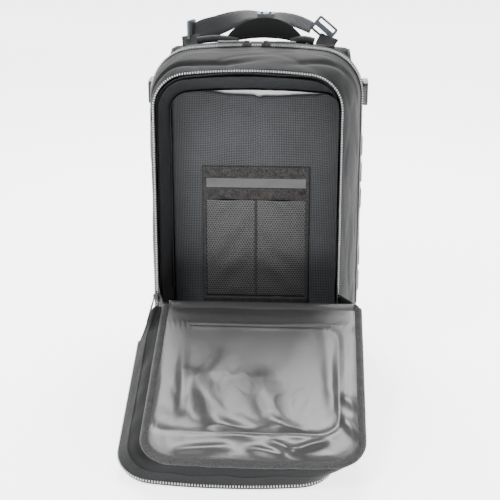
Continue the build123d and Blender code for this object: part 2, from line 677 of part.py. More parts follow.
def side_molle():
    """Rows of webbing on the sides of the main compartment."""
    rows = []
    for side in (-1, 1):
        for z in (120.0, 158.0, 244.0, 282.0, 320.0):
            x0, x1 = sorted((side * MAIN_HALF, side * (MAIN_HALF + WEB)))
            rows.append(block(x0, x1, 30.0, 100.0, z - WEB_WIDTH / 2, z + WEB_WIDTH / 2))
    return rows


# ---- the assembly ----------------------------------------------------------------------------------------------------
def assembly():
    nodes = {
        "rear_shell": rear_shell(),
        "back_panel": back_panel(),
        "back_pads": back_pads(),
        "frame_sheet": frame_sheet(),
        "hydration_sleeve": hydration_sleeve(),
        "base_pad": base_pad(),
        "main_zip_tape": main_zip_tape(),
        "main_zip_teeth": main_zip_teeth(),
        "front_gusset": front_gusset(),
        "front_lining": front_lining(),
        "front_lower_panel": front_lower_panel(),
        "divider_panel": divider_panel(),
        "slip_pocket_lining": slip_pocket_lining(),
        "organiser_strips": organiser_strips(),
        "organiser_panel": [organiser_backing(), *organiser_binding()],
        "mesh_pockets": mesh_pockets(),
        "front_zip_tape": front_zip_tape(),
        "front_zip_teeth": front_zip_teeth(),
        "flap_panel": flap_panel(),
        "flap_lining": flap_lining(),
        "flap_binding": flap_binding(),
        "pouch_shell": pouch_shell(),
        "pouch_zip": pouch_zip(),
        "pouch_molle": pouch_molle(),
        "id_patch": id_patch(),
        "pouch_slider": on_pouch(slider(5.2)),
        "pouch_pull": on_pouch(pull()),
        "rim_zip_tape": rim_zip_tape(),
        "rim_zip_teeth": rim_zip_teeth(),
        "flap_gusset": flap_gusset(),
        "haul_handle": haul_handle(),
        "lower_webbings": lower_webbings(),
        "yoke_webbings": yoke_webbings() + yoke_anchors(),
        "yoke_adjusters": [*yoke_locks(), yoke_triglide()],
        "anchor_tabs": anchor_tabs(),
        "side_webbing": side_rear_webbing() + side_molle(),
        "side_sockets": side_sockets(),
        "side_front_webbing": side_front_webbing(),
    }
    for word, side in (("left", -1), ("right", 1)):
        nodes[f"side_plug_{word}"] = side_plug(side)
        nodes[f"main_slider_{word}"] = on_crown(slider(5.2), side)
        nodes[f"main_pull_{word}"] = on_crown(pull(), side)
        nodes[f"front_slider_{word}"] = on_mouth(slider(8.0), side)
        nodes[f"front_pull_{word}"] = on_mouth(pull(), side, PULL_TILT)
        nodes[f"strap_pad_{word}"] = strap_pad(side)
        nodes[f"strap_adjuster_{word}"] = strap_adjuster(side)
        nodes[f"d_ring_{word}"] = d_ring(side)
        nodes[f"sternum_webbing_{word}"] = sternum_webbing(side)
        nodes[f"sternum_buckle_{word}"] = sternum_buckle(side)
    return nodes


def main():
    os.makedirs("parts", exist_ok=True)
    for name, shape in assembly().items():
        solids = shape if isinstance(shape, list) else [shape]
        found = [s for piece in solids for s in piece.solids()]
        export_step(Compound(children=found) if len(found) > 1 else found[0], f"parts/{name}.step")


main()
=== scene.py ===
import json
from math import atan2, cos, exp, pi, radians, sin, sqrt

import bmesh
import bpy
import numpy as np
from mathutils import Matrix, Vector, noise


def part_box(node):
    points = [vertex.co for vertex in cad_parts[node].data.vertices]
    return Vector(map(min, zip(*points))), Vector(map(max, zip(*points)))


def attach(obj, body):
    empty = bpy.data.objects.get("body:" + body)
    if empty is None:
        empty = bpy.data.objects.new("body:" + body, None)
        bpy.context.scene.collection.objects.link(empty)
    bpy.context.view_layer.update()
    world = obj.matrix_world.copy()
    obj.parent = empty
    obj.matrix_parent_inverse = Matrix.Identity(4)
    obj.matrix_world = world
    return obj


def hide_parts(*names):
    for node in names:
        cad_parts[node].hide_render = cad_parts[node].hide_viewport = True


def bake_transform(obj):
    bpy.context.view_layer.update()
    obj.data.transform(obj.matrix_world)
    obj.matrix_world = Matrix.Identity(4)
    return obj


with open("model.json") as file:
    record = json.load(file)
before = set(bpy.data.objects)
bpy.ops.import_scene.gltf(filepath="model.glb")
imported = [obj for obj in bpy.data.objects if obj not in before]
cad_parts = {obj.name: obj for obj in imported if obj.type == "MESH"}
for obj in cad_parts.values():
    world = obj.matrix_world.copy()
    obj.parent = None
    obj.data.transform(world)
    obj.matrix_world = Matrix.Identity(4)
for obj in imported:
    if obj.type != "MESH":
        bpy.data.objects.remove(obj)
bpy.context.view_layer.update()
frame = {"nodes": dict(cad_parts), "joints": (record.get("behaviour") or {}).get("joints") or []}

MM = 0.001

# ---- sizes read from the frame, metres ----
mouth_low, mouth_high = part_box("front_zip_tape")
main_low, main_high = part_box("main_zip_tape")
flap_low, flap_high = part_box("flap_panel")
divider_low, divider_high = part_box("divider_panel")
back_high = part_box("back_panel")[1]
fold = next(j for j in frame["joints"] if j["name"] == "flap_fold")
FOLD_Y, FOLD_Z = fold["pos_m"][1:]
SLOPE = radians(fold["range_deg"][1]) - pi / 2

MOUTH_X = (mouth_low.x + mouth_high.x) / 2
MOUTH_HALF = (mouth_high.x - mouth_low.x) / 2 + 0.4 * MM
MOUTH_TOP = mouth_high.z + 0.4 * MM
MOUTH_REAR = mouth_high.y
MOUTH_Y = mouth_low.y - 0.4 * MM
ZIP_LOW = mouth_low.z
MAIN_HALF = (main_high.x - main_low.x) / 2
MAIN_TOP = main_high.z
MAIN_Y = (main_low.y + main_high.y) / 2
BACK_Y, BACK_TOP = back_high.y, back_high.z
BACK_SEAM_Y = BACK_Y - 4 * MM
DIVIDER_Y = divider_low.y
DIVIDER_HALF = (divider_high.x - divider_low.x) / 2
FLAP_X = (flap_low.x + flap_high.x) / 2
FLAP_HALF = (flap_high.x - flap_low.x) / 2
FLAP_LENGTH = 283 * MM
LOW_CORNER = 18 * MM
MOUTH_CORNER, MOUTH_CROWN = 46 * MM, 10 * MM
MAIN_CORNER, MAIN_CROWN = 60 * MM, 12 * MM
FLAP_CORNER = 42 * MM
RIM_MOVE = Vector((-9, -75, -18)) * MM
RIM_SPREAD = 1.055         # the loose edge lies a little wider than it was sewn
WEB_WIDTH = 25 * MM
FOOT = 12 * MM             # cloth below this height lies flat
SHELL_BULGE, GUSSET_BULGE = 3.2 * MM, 4.5 * MM
SIDES = (("left", -1), ("right", 1))
X, Y, Z, FRONT = (1, 0, 0), (0, 1, 0), (0, 0, 1), (0, -1, 0)


# ---- numbers and points ----
def mm(*values):
    """Several lengths at once, from millimetres."""
    return tuple(value * MM for value in values)


def ripple(x, y, z):
    """Smooth noise, about -1 to 1."""
    return noise.noise(Vector((x, y, z)))


def turbulence(p, scale, seed=0.0):
    return ripple(p.x * scale + seed, p.y * scale - seed, p.z * scale + 2 * seed)


def bell(distance, width):
    """1 at no distance, falling off smoothly either way."""
    return exp(-(distance / width) ** 2)


def rise(x):
    """Smooth step from 0 far below zero to 1 far above it."""
    return 1 / (1 + exp(-x))


def within(x, low=0, high=1):
    return min(max(x, low), high)


def spread(a, b, n):
    return np.linspace(a, b, n, endpoint=False)


def arc(cx, cz, r, a0, a1, n):
    """Points on an arc, from angle a0 to a1 in degrees, without the last one."""
    t = np.radians(spread(a0, a1, n))
    return np.stack([cx + r * np.cos(t), cz + r * np.sin(t)], 1)


def run(p, q, n):
    """Points on a straight line from p to q, without the last one."""
    t = spread(0, 1, n)[:, None]
    return np.array(p) * (1 - t) + np.array(q) * t


def rows_of(point, along, across):
    """Rows of points: point(a, b) for each a along, and in each row for each b across."""
    return [[point(a, b) for b in across] for a in along]


def outline(half, top, corner, crown, x=0.0, low=0.0, low_corner=LOW_CORNER):
    """Closed loop of (x, z) points: flat bottom, straight sides, round corners and a crowned top."""
    big = (half**2 + crown**2) / (2 * crown)
    cz = top - big
    corner_z = cz + sqrt((big - corner) ** 2 - (half - corner) ** 2)
    lean = np.degrees(atan2(half - corner, corner_z - cz))
    half_loop = np.concatenate([
        run((0, low), (half - low_corner, low), 12),
        arc(half - low_corner, low + low_corner, low_corner, -90, 0, 6),
        run((half, low + low_corner), (half, corner_z), 28),
        arc(half - corner, corner_z, corner, 0, 90 - lean, 12),
        arc(0, cz, big, 90 - lean, 90, 14),
    ])
    mirrored = np.concatenate([[[0.0, top]], half_loop[:0:-1]]) * np.array([-1, 1])
    return np.concatenate([half_loop, mirrored]) + np.array([x, 0])


def mouth_loop(inset=0.0, x=MOUTH_X, low=None):
    """The front zipper's outline, from the ground up unless low is given."""
    return outline(MOUTH_HALF - inset, MOUTH_TOP - inset, MOUTH_CORNER - inset, MOUTH_CROWN, x,
                   max(inset, 0.0) if low is None else low, max(LOW_CORNER - inset, 4 * MM))


def main_loop(y, inset=0.0):
    """The main compartment's outline at depth y, whose top slopes down behind the zipper."""
    share = max((y - MAIN_Y) / (BACK_Y - MAIN_Y), 0.0)
    top = MAIN_TOP + (BACK_TOP - MAIN_TOP) * share
    return outline(MAIN_HALF - inset, top - inset, MAIN_CORNER - inset, MAIN_CROWN, 0,
                   max(inset, 0.0), max(LOW_CORNER - inset, 4 * MM))


def rounded_loop(x0, x1, z0, z1, corner, n=6, side=10):
    """Closed loop round a rectangle with round corners, counter-clockwise seen from the front."""
    left, right, low, high = x0 + corner, x1 - corner, z0 + corner, z1 - corner
    return np.concatenate([
        run((left, z0), (right, z0), side), arc(right, low, corner, -90, 0, n),
        run((x1, low), (x1, high), side), arc(right, high, corner, 0, 90, n),
        run((right, z1), (left, z1), side), arc(left, high, corner, 90, 180, n),
        run((x0, high), (x0, low), side), arc(left, low, corner, 180, 270, n),
    ])


def scaled(loop, scale, centre=None):
    """A loop shrunk or grown about a point, by default its own middle."""
    centre = loop.mean(0) if centre is None else np.array(centre)
    return centre + (loop - centre) * scale


def all_round(loop):
    """A loop with its first point once more at its end."""
    return np.concatenate([loop, loop[:1]])


def at_y(loop, y):
    """Loop of (x, z) points placed at depth y."""
    return np.stack([loop[:, 0], np.full(len(loop), y), loop[:, 1]], 1)


def with_feet(path, level):
    """A path with both ends brought straight to a level."""
    return np.concatenate([[[path[0, 0], level]], path, [[path[-1, 0], level]]])


def arch(loop, low):
    """The part of a closed loop above height low, from its left foot over the top to its right foot."""
    return with_feet(loop[loop[:, 1] > low][::-1], low)


def arch_low(loop, high):
    """The part of a closed loop below a height, from its left side round the bottom to its right side."""
    half = len(loop) // 2
    left, right = loop[half:], loop[:half]
    path = np.concatenate([left[left[:, 1] < high], right[right[:, 1] < high]])
    return resample_count(with_feet(path, high), 90)


def lengths(path):
    """Distance along a path at each of its points."""
    return np.concatenate([[0], np.cumsum(np.linalg.norm(np.diff(path, axis=0), axis=1))])


def resample_count(path, count):
    """Evenly spaced points along a path."""
    path = np.asarray(path, float)
    along = lengths(path)
    t = np.linspace(0, along[-1], count)
    return np.stack([np.interp(t, along, column) for column in path.T], 1)


def resample(path, step):
    """Evenly spaced points along a path, about step apart."""
    return resample_count(path, max(int(round(lengths(path)[-1] / step)), 1) + 1)


def catmull_rom(four, t):
    """Point of the curve between the second and the third of four points, at t from 0 to 1."""
    a, b, c, d = four
    return 0.5 * (2 * b + (c - a) * t + (2 * a - 5 * b + 4 * c - d) * t**2 + (3 * b - a - 3 * c + d) * t**3)


def with_ends(points):
    """Points with one more before and after, in line with the outer two."""
    p = np.asarray(points, float)
    return np.concatenate([[2 * p[0] - p[1]], p, [2 * p[-1] - p[-2]]])


def smooth_path(points, step=4 * MM):
    """Catmull-Rom curve through a few points, evenly sampled."""
    p = with_ends(points)
    curve = [catmull_rom(p[k - 1:k + 3], t) for k in range(1, len(p) - 2) for t in spread(0, 1, 12)]
    return resample([*curve, p[-2]], step)


def flap_point(x, p, h):
    """Point of the open flap: x across, p along it from the fold, h below its panel."""
    return (x, FOLD_Y - cos(SLOPE) * p + sin(SLOPE) * h, FOLD_Z - sin(SLOPE) * p - cos(SLOPE) * h)


def on_flap(points):
    return np.array([flap_point(*q) for q in points])


def flap_vector(p, h):
    """Direction on the open flap, p along it and h below it."""
    return np.array(flap_point(0, p, h)) - np.array(flap_point(0, 0, 0))


FLAP_DOWN, FLAP_UP, FLAP_ALONG = flap_vector(0, 1), flap_vector(0, -1), flap_vector(1, 0)


# ---- meshes ----
def mesh_object(name, verts, faces, material, uvs=None):
    mesh = bpy.data.meshes.new(name)
    mesh.from_pydata([tuple(map(float, v)) for v in verts], [], [tuple(map(int, f)) for f in faces])
    if uvs is not None:
        layer = mesh.uv_layers.new(name="UVMap")
        layer.data.foreach_set("uv", [c for face in faces for v in face for c in uvs[v]])
    mesh.shade_smooth()
    mesh.materials.append(material)
    obj = bpy.data.objects.new(name, mesh)
    bpy.context.scene.collection.objects.link(obj)
    return obj


def grid(name, rows, material, closed=False, flip=False):
    """Surface through rows of points. Its UV map is in metres. closed joins each row's end to its start."""
    rows = np.asarray(rows, float)
    if closed:
        rows = np.concatenate([rows, rows[:, :1]], 1)
    r, c = rows.shape[:2]
    u, v = lengths(rows[r // 2]), lengths(rows[:, c // 3])
    uvs = [(float(u[j]), float(v[i])) for i in range(r) for j in range(c)]
    corners = [i * c + j for i in range(r - 1) for j in range(c - 1)]
    faces = [(a, a + 1, a + c + 1, a + c)[::-1 if flip else 1] for a in corners]
    obj = mesh_object(name, rows.reshape(-1, 3), faces, material, uvs)
    if closed:
        weld(obj)
    return obj


def weld(obj):
    """Join the points that a closed surface has twice."""
    bm = bmesh.new()
    bm.from_mesh(obj.data)
    bmesh.ops.remove_doubles(bm, verts=bm.verts, dist=0.02 * MM)
    bm.to_mesh(obj.data)
    bm.free()


def bake(obj):
    """Apply a piece's modifiers."""
    evaluated = obj.evaluated_get(bpy.context.evaluated_depsgraph_get())
    mesh = bpy.data.meshes.new_from_object(evaluated)
    obj.modifiers.clear()
    obj.data = mesh
    return obj


def thick(obj, depth, offset=-1.0, back=None):
    """Give a surface a thickness. back is the material of its rear face and edges, if it has its own."""
    solid = obj.modifiers.new("thickness", "SOLIDIFY")
    solid.thickness = depth
    solid.offset = offset
    if back:
        obj.data.materials.append(back)
        solid.material_offset = 1
        solid.material_offset_rim = 1
    return bake(obj)


def smooth(obj):
    """Divide each face in four and round the surface off."""
    sub = obj.modifiers.new("smooth", "SUBSURF")
    sub.levels = 1
    sub.render_levels = 1
    return bake(obj)


def displace(obj, height):
    """Move each vertex along its normal by height(point)."""
    for v, n in [(v, v.normal.copy()) for v in obj.data.vertices]:
        v.co += n * height(v.co)


def above_ground(obj):
    for v in obj.data.vertices:
        v.co.z = max(v.co.z, 0.0)


def directions(path, across):
    """Vectors along a path, across it and out of it. across is one vector or one for each point."""
    t = np.gradient(path, axis=0)
    t = t / np.linalg.norm(t, axis=1)[:, None]
    a = np.broadcast_to(np.asarray(across, float), path.shape).copy()
    a -= (a * t).sum(1)[:, None] * t
    a /= np.linalg.norm(a, axis=1)[:, None]
    return t, a, np.cross(a, t)


def tube_faces(rings, k, base=0):
    """Faces of a tube through rings of k vertices each, with both ends closed."""
    last = base + (rings - 1) * k
    faces = [
        (q + j, q + (j + 1) % k, q + k + (j + 1) % k, q + k + j)
        for q in range(base, last, k) for j in range(k)
    ]
    return [*faces, tuple(range(base, base + k))[::-1], tuple(range(last, last + k))]


def sweep(name, path, across, section, material):
    """Closed solid whose section of (across, out) points follows a path."""
    path, section = np.asarray(path, float), np.asarray(section, float)
    _, a, n = directions(path, across)
    rows, k = len(path), len(section)
    verts = path[:, None] + section[None, :, 0, None] * a[:, None] + section[None, :, 1, None] * n[:, None]
    along, around = lengths(path), lengths(section)
    uvs = [(float(around[j]), float(along[i])) for i in range(rows) for j in range(k)]
    return mesh_object(name, verts.reshape(-1, 3), tube_faces(rows, k), material, uvs)


def tape_section(width, depth):
    """Flat section with softened edges."""
    w, d = width / 2, depth / 2
    return [
        (-w, 0), (-w + d, -d), (-w / 2, -d), (0, -d), (w / 2, -d), (w - d, -d),
        (w, 0), (w - d, d), (w / 2, d), (0, d), (-w / 2, d), (-w + d, d),
    ]


def round_section(radius, count=8):
    return [(radius * cos(2 * pi * k / count), radius * sin(2 * pi * k / count)) for k in range(count)]


def strap(name, points, across, material, width=WEB_WIDTH, depth=1.6 * MM, step=4 * MM):
    """Webbing or tape along a smooth path."""
    return sweep(name, smooth_path(points, step), across, tape_section(width, depth), material)


TOOTH_SECTION = ((0.5, 0.0), (0.5, 0.55), (0.28, 1.0), (-0.28, 1.0), (-0.5, 0.55), (-0.5, 0.0))
TOOTH_RINGS = ((-0.5, 0.8), (-0.28, 1.0), (0.28, 1.0), (0.5, 0.8))
STITCH_SECTION = ((1.0, 0.0), (0.0, 1.0), (-1.0, 0.0), (0.0, -0.6))
STITCH_RINGS = ((-0.5, 0.4), (-0.3, 1.0), (0.3, 1.0), (0.5, 0.4))


def beads(name, path, across, size, pitch, material, lift=0.0):
    """Row of zipper teeth: one chamfered bead every pitch along a path. size is (along, across, up)."""
    path = resample(path, pitch)
    t, a, n = directions(path, across)
    along, wide, up = size
    verts, faces = [], []
    for i, middle in enumerate(path):
        faces += tube_faces(len(TOOTH_RINGS), len(TOOTH_SECTION), len(verts))
        for end, shrink in TOOTH_RINGS:
            for w, u in TOOTH_SECTION:
                out = n[i] * (u * up * shrink + lift)
                verts.append(middle + t[i] * end * along + a[i] * (w * wide) * shrink + out)
    return mesh_object(name, verts, faces, material)


def stitches(name, path, up, material, length=2.6 * MM, gap=1.4 * MM, radius=0.35 * MM):
    """Line of lockstitches lying on a surface whose outward direction is up."""
    path = resample(path, length + gap)
    t = directions(path, up)[0]
    up = np.asarray(up, float)
    side = np.cross(t, up)
    side /= np.linalg.norm(side, axis=1)[:, None]
    verts, faces = [], []
    for i, middle in enumerate(path):
        faces += tube_faces(len(STITCH_RINGS), len(STITCH_SECTION), len(verts))
        for end, r in STITCH_RINGS:
            centre = middle + t[i] * end * length
            for w, h in STITCH_SECTION:
                verts.append(centre + side[i] * w * r * radius + up * h * r * radius)
    return mesh_object(name, verts, faces, material)


# ---- materials ----
class Paint:
    """A material's node tree, with short calls for the nodes that the cloths share."""

    def __init__(self, name, roughness, metallic=0.0, specular=0.5, sheen=0.0, coat=0.0, coat_roughness=0.2):
        self.material = bpy.data.materials.new(name)
        self.material.use_nodes = True
        self.tree = self.material.node_tree
        self.shader = self.feed(self.tree.nodes["Principled BSDF"], {
            "Roughness": roughness, "Metallic": metallic, "Specular IOR Level": specular,
            "Sheen Weight": sheen, "Sheen Roughness": 0.4,
            "Coat Weight": coat, "Coat Roughness": coat_roughness,
        })

    def feed(self, node, inputs):
        """Set a node's inputs, or link them where the value is another node's output."""
        for key, value in inputs.items():
            if isinstance(value, bpy.types.NodeSocket):
                self.tree.links.new(value, node.inputs[key])
            else:
                node.inputs[key].default_value = value
        return node

    def node(self, kind, inputs, **values):
        made = self.tree.nodes.new(kind)
        for key, value in values.items():
            setattr(made, key, value)
        return self.feed(made, inputs)

    def math(self, operation, a, b=0.5, clamp=False):
        return self.node("ShaderNodeMath", {0: a, 1: b}, operation=operation, use_clamp=clamp).outputs[0]

    def total(self, *pairs, clamp=False):
        """Sum of the products of pairs."""
        total, *rest = [self.math("MULTIPLY", a, b) for a, b in pairs]
        for product in rest:
            total = self.math("ADD", total, product, clamp and product is rest[-1])
        return total

    def uv(self, pitch, turn=0.0):
        """The UV map, which is in metres, scaled so that one pattern repeat is one unit."""
        coord = self.node("ShaderNodeUVMap", {}, uv_map="UVMap")
        spin = self.node("ShaderNodeVectorRotate", {"Vector": coord.outputs[0], "Angle": turn},
                         rotation_type="Z_AXIS")
        scale = (1 / pitch, 1 / pitch, 1)
        place = self.node("ShaderNodeMapping", {"Vector": spin.outputs[0], "Scale": scale},
                          vector_type="POINT")
        split = self.node("ShaderNodeSeparateXYZ", {0: place.outputs[0]})
        return split.outputs[0], split.outputs[1]

    def wave(self, x):
        return self.math("SINE", self.math("MULTIPLY", x, 2 * pi))

    def raised(self, wave):
        """A wave from -1 to 1 brought to 0 to 1."""
        return self.math("ADD", self.math("MULTIPLY", wave, 0.5), 0.5)

    def weave(self, pitch, turn=0.0):
        """Plain weave: threads that pass over and under each other."""
        x, y = self.uv(pitch, turn)
        return self.raised(self.math("MULTIPLY", self.wave(x), self.wave(y)))

    def ribs(self, pitch, along=True):
        x, y = self.uv(pitch)
        return self.raised(self.wave(y if along else x))

    def noise(self, scale, detail, roughness):
        coord = self.node("ShaderNodeTexCoord", {})
        return self.node("ShaderNodeTexNoise", {
            "Vector": coord.outputs["Object"], "Scale": scale, "Detail": detail, "Roughness": roughness,
        }).outputs["Fac"]

    def ramp(self, factor, *stops, socket="Base Color"):
        """Colour from a factor. stops are (position, colour) pairs."""
        made = self.node("ShaderNodeValToRGB", {"Fac": factor})
        items = made.color_ramp.elements
        while len(items) < len(stops):
            items.new(0.5)
        for item, (place, colour) in zip(items, stops):
            item.position = place
            item.color = (*colour, 1)
        self.feed(self.shader, {socket: made.outputs["Color"]})

    def bump(self, height, distance, strength=1.0):
        """Add a bump on top of those already there."""
        made = self.node("ShaderNodeBump", {"Distance": distance, "Strength": strength, "Height": height})
        socket = self.shader.inputs["Normal"]
        if socket.is_linked:
            self.feed(made, {"Normal": socket.links[0].from_socket})
        self.feed(self.shader, {"Normal": made.outputs[0]})


GREY = np.array((1.0, 1.0, 1.0))
COOL = np.array((0.96, 1.0, 1.06))
WARM = np.array((1.04, 1.0, 0.97))
RED_TINT = np.array((1.6, 0.12, 0.1))
BLUE_TINT = np.array((0.85, 1.0, 1.2))


def woven_cloth(name, value, pitch, turn=0.0, roughness=0.6, contrast=0.35):
    """Woven polyester: visible threads, lighter on their crowns, with dye and wear a little uneven."""
    paint = Paint(name, roughness, specular=0.12, sheen=0.012)
    threads = paint.weave(pitch, turn)
    blotch = paint.noise(14, 4, 0.6)
    mixed = paint.total((threads, contrast), (paint.noise(900, 2, 0.7), 0.45), (blotch, 0.3), clamp=True)
    extra = contrast - 0.35
    dark, light = value * (0.45 - 0.6 * extra) * COOL, value * 1.6 * COOL
    paint.ramp(mixed, (0.2 + 0.45 * extra, dark), (0.85 + 0.33 * extra, light))
    paint.bump(threads, 0.25 * MM, 0.7)
    paint.bump(blotch, 1.2 * MM, 0.35)
    return paint.material


def coated_cloth(name, value, roughness):
    """The coated inner face of the cloth: smooth, slightly shiny, with the weave showing faintly through."""
    paint = Paint(name, roughness, specular=0.5, coat=0.12, coat_roughness=0.3)
    fine = paint.noise(260, 3, 0.6)
    mixed = paint.total((paint.noise(9, 5, 0.55), 0.7), (fine, 0.3))
    paint.ramp(mixed, (0.25, value * 0.78 * COOL), (0.8, value * 1.25 * WARM))
    paint.bump(paint.weave(1.1 * MM), 0.06 * MM, 0.5)
    paint.bump(fine, 0.15 * MM, 0.4)
    return paint.material


def webbing_cloth(name, value, pitch=1.7 * MM, roughness=0.6):
    """Ribbed webbing: fine ribs across it, broken by the warp."""
    paint = Paint(name, roughness, specular=0.25, sheen=0.03)
    ribs = paint.ribs(pitch)
    warp = paint.ribs(1.1 * MM, along=False)
    mixed = paint.total((ribs, 0.5), (warp, 0.2), (paint.noise(700, 2, 0.7), 0.35), clamp=True)
    paint.ramp(mixed, (0.15, value * 0.35 * COOL), (0.9, value * 1.7 * COOL))
    paint.bump(ribs, 0.35 * MM, 0.8)
    paint.bump(warp, 0.15 * MM, 0.5)
    return paint.material


def binding_cloth(name, value, tint=GREY):
    """Grosgrain tape whose filaments catch the light in specks."""
    paint = Paint(name, 0.5, specular=0.3, sheen=0.04)
    ribs = paint.ribs(0.9 * MM)
    speck = paint.noise(420, 2, 0.8)
    mixed = paint.total((ribs, 0.3), (speck, 0.75), clamp=True)
    paint.ramp(mixed, (0.3, value * 0.4 * tint), (0.6, value * tint), (0.85, value * 3.2 * tint))
    paint.bump(ribs, 0.25 * MM, 0.7)
    paint.bump(speck, 0.5 * MM, 0.6)
    return paint.material


def pile_tape(name, value):
    """Loop tape: matt pile of tiny loops."""
    paint = Paint(name, 0.95, specular=0.08, sheen=0.06)
    loops = paint.noise(520, 3, 0.85)
    mixed = paint.total((loops, 0.6), (paint.noise(130, 3, 0.7), 0.4))
    paint.ramp(mixed, (0.35, value * 0.3 * GREY), (0.7, value * 2.4 * WARM))
    paint.bump(loops, 0.9 * MM, 0.9)
    return paint.material


def hex_mesh(name, cell, thread, hole, roughness=0.5):
    """Knitted mesh: round holes in a hexagonal pattern, dark where the holes are."""
    paint = Paint(name, roughness, specular=0.35, sheen=0.03)
    x, y = paint.uv(cell)
    row = paint.math("DIVIDE", y, sqrt(3))
    away = []
    for shift in (0.0, 0.5):
        cell_x, cell_y = [paint.math("FRACT", paint.math("ADD", v, shift)) for v in (x, row)]
        dx = paint.math("SUBTRACT", cell_x, 0.5)
        dy = paint.math("MULTIPLY", paint.math("SUBTRACT", cell_y, 0.5), sqrt(3))
        away.append(paint.math("SQRT", paint.total((dx, dx), (dy, dy))))
    nearest = paint.math("MINIMUM", *away)
    fibre = paint.math("SUBTRACT", paint.noise(600, 2, 0.7), 0.5)
    shade = paint.math("ADD", nearest, paint.math("MULTIPLY", fibre, 0.25))
    paint.ramp(shade, (0.26, hole * GREY), (0.38, thread * GREY), (0.6, thread * 1.5 * GREY))
    paint.bump(nearest, 0.8 * MM, 0.9)
    return paint.material


def moulded(name, value, tint=COOL, roughness=0.38):
    """Moulded plastic with a fine grain and scuffed edges."""
    paint = Paint(name, roughness, specular=0.5)
    grain = paint.noise(500, 2, 0.6)
    scuff = paint.noise(40, 5, 0.7)
    mixed = paint.total((grain, 0.3), (scuff, 0.7))
    paint.ramp(mixed, (0.3, value * 0.75 * tint), (0.75, value * 1.35 * tint))
    rough = min(roughness * 1.4, 1) * GREY
    paint.ramp(scuff, (0.3, roughness * 0.8 * GREY), (0.8, rough), socket="Roughness")
    paint.bump(grain, 0.08 * MM, 0.5)
    return paint.material


def cast_metal(name, value, roughness=0.3):
    """Dark plated zinc, brighter where it has rubbed."""
    paint = Paint(name, roughness, metallic=0.85, specular=0.5)
    rub = paint.noise(150, 4, 0.6)
    paint.ramp(rub, (0.35, value * 0.6 * GREY), (0.75, value * 1.8 * WARM))
    paint.ramp(rub, (0.3, roughness * 0.8 * GREY), (0.8, roughness * 1.5 * GREY), socket="Roughness")
    paint.bump(rub, 0.1 * MM, 0.4)
    return paint.material


def plain_stage(name, value, glow):
    """Pale paper, lit a little from behind."""
    paint = Paint(name, 0.9, specular=0.1)
    paint.feed(paint.shader, {"Emission Color": (1, 1, 1, 1), "Emission Strength": glow})
    paint.ramp(paint.noise(3, 2, 0.5), (0.0, value * GREY), (1.0, value * 1.01 * GREY))
    return paint.material


CLOTH = woven_cloth("pack_cloth", 0.0095, 1.8 * MM, contrast=0.6)
CLOTH_INNER = woven_cloth("divider_cloth", 0.044, 3.4 * MM, radians(45), contrast=0.8)
LINING = woven_cloth("gusset_lining", 0.022, 1.6 * MM, roughness=0.7, contrast=0.8)
COATED = coated_cloth("coated_lining", 0.031, 0.33)
COATED_PAINTED_SHEEN = coated_cloth("coated_gusset", 0.085, 0.34)
# A paler copy of the coated lining for the flap gusset's strip: its extra lightness is painted sheen.
PALE = coated_cloth("slip_lining", 0.62, 0.5)
WEB = webbing_cloth("webbing", 0.022)
WEB_DARK = webbing_cloth("webbing_dark", 0.008)
HANDLE = woven_cloth("handle_cloth", 0.008, 1.3 * MM, contrast=0.8)
BINDING = binding_cloth("binding_tape", 0.022)
TAPE = webbing_cloth("zip_tape", 0.008, pitch=0.8 * MM, roughness=0.7)
LOOP = pile_tape("loop_tape", 0.03)
RED = binding_cloth("patch_edge", 0.05, RED_TINT)
MESH = hex_mesh("pocket_mesh", 3.6 * MM, 0.065, 0.003)
SPACER = hex_mesh("spacer_mesh", 3.4 * MM, 0.016, 0.003, 0.8)
VINYL = coated_cloth("clear_vinyl", 0.012, 0.2)
# The zipper teeth are black; their pale grey colour is painted highlight, standing in for the glints on each
# tooth.
TEETH_PAINTED_GLINT = moulded("zip_teeth", 0.42, roughness=0.22)
PLASTIC = moulded("buckle_plastic", 0.015)
SHEET_PLASTIC = moulded("sheet_plastic", 0.55)
METAL = cast_metal("slider_metal", 0.05)
PLASTIC_BLUE = moulded("adjuster_plastic", 0.06, BLUE_TINT, 0.4)
THREAD = moulded("thread", 0.06, WARM, 0.6)


# ---- main compartment ----
def pack_shell():
    """Wall of the main compartment, puffed out a little between its seams."""
    rows = []
    y0, y1 = MAIN_Y + 3 * MM, BACK_SEAM_Y
    for t in np.linspace(0, 1, 22):
        y = y0 + (y1 - y0) * t
        rows.append(at_y(main_loop(y, -SHELL_BULGE * sin(pi * t) ** 0.6), y))
    obj = grid("pack_shell", rows, CLOTH, closed=True, flip=True)
    displace(obj, lambda p: folds(p) if p.z > FOOT else 0.0)
    above_ground(obj)
    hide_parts("rear_shell")
    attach(obj, "pack")


def folds(p):
    """Gentle unevenness of stuffed cloth, with a few longer creases."""
    broad = turbulence(p, 13, 3.1) * 2.2 * MM
    crease = 1 - abs(turbulence(Vector((p.x * 0.5, p.y, p.z * 0.35)), 34, 7.7)) * 5
    return broad - max(crease, 0.0) * 1.1 * MM


def back_face():
    """Back panel and its rolled edge."""
    edge = main_loop(BACK_Y, 9 * MM)
    rows = [at_y(main_loop(BACK_SEAM_Y), BACK_SEAM_Y)]
    for inset, y in ((1.2, -1.6), (4.0, -0.2), (9.0, 0.0)):
        rows.append(at_y(main_loop(BACK_Y, inset * MM), BACK_Y + y * MM))
    for scale in (0.8, 0.6, 0.4, 0.2, 0.0):
        rows.append(at_y(scaled(edge, scale, (0.0, 0.225)), BACK_Y))
    obj = grid("back_face", rows, CLOTH, closed=True, flip=True)
    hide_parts("back_panel")
    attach(obj, "pack")


def shell_piping():
    """Round welt along the seam between the shell and the back."""
    path = resample(at_y(all_round(main_loop(BACK_SEAM_Y, -1.2 * MM)), BACK_Y - 3.4 * MM), 5 * MM)
    radius = 1.9 * MM
    path[:, 2] = np.maximum(path[:, 2], radius)
    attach(sweep("shell_piping", path, Y, round_section(radius), BINDING), "pack")


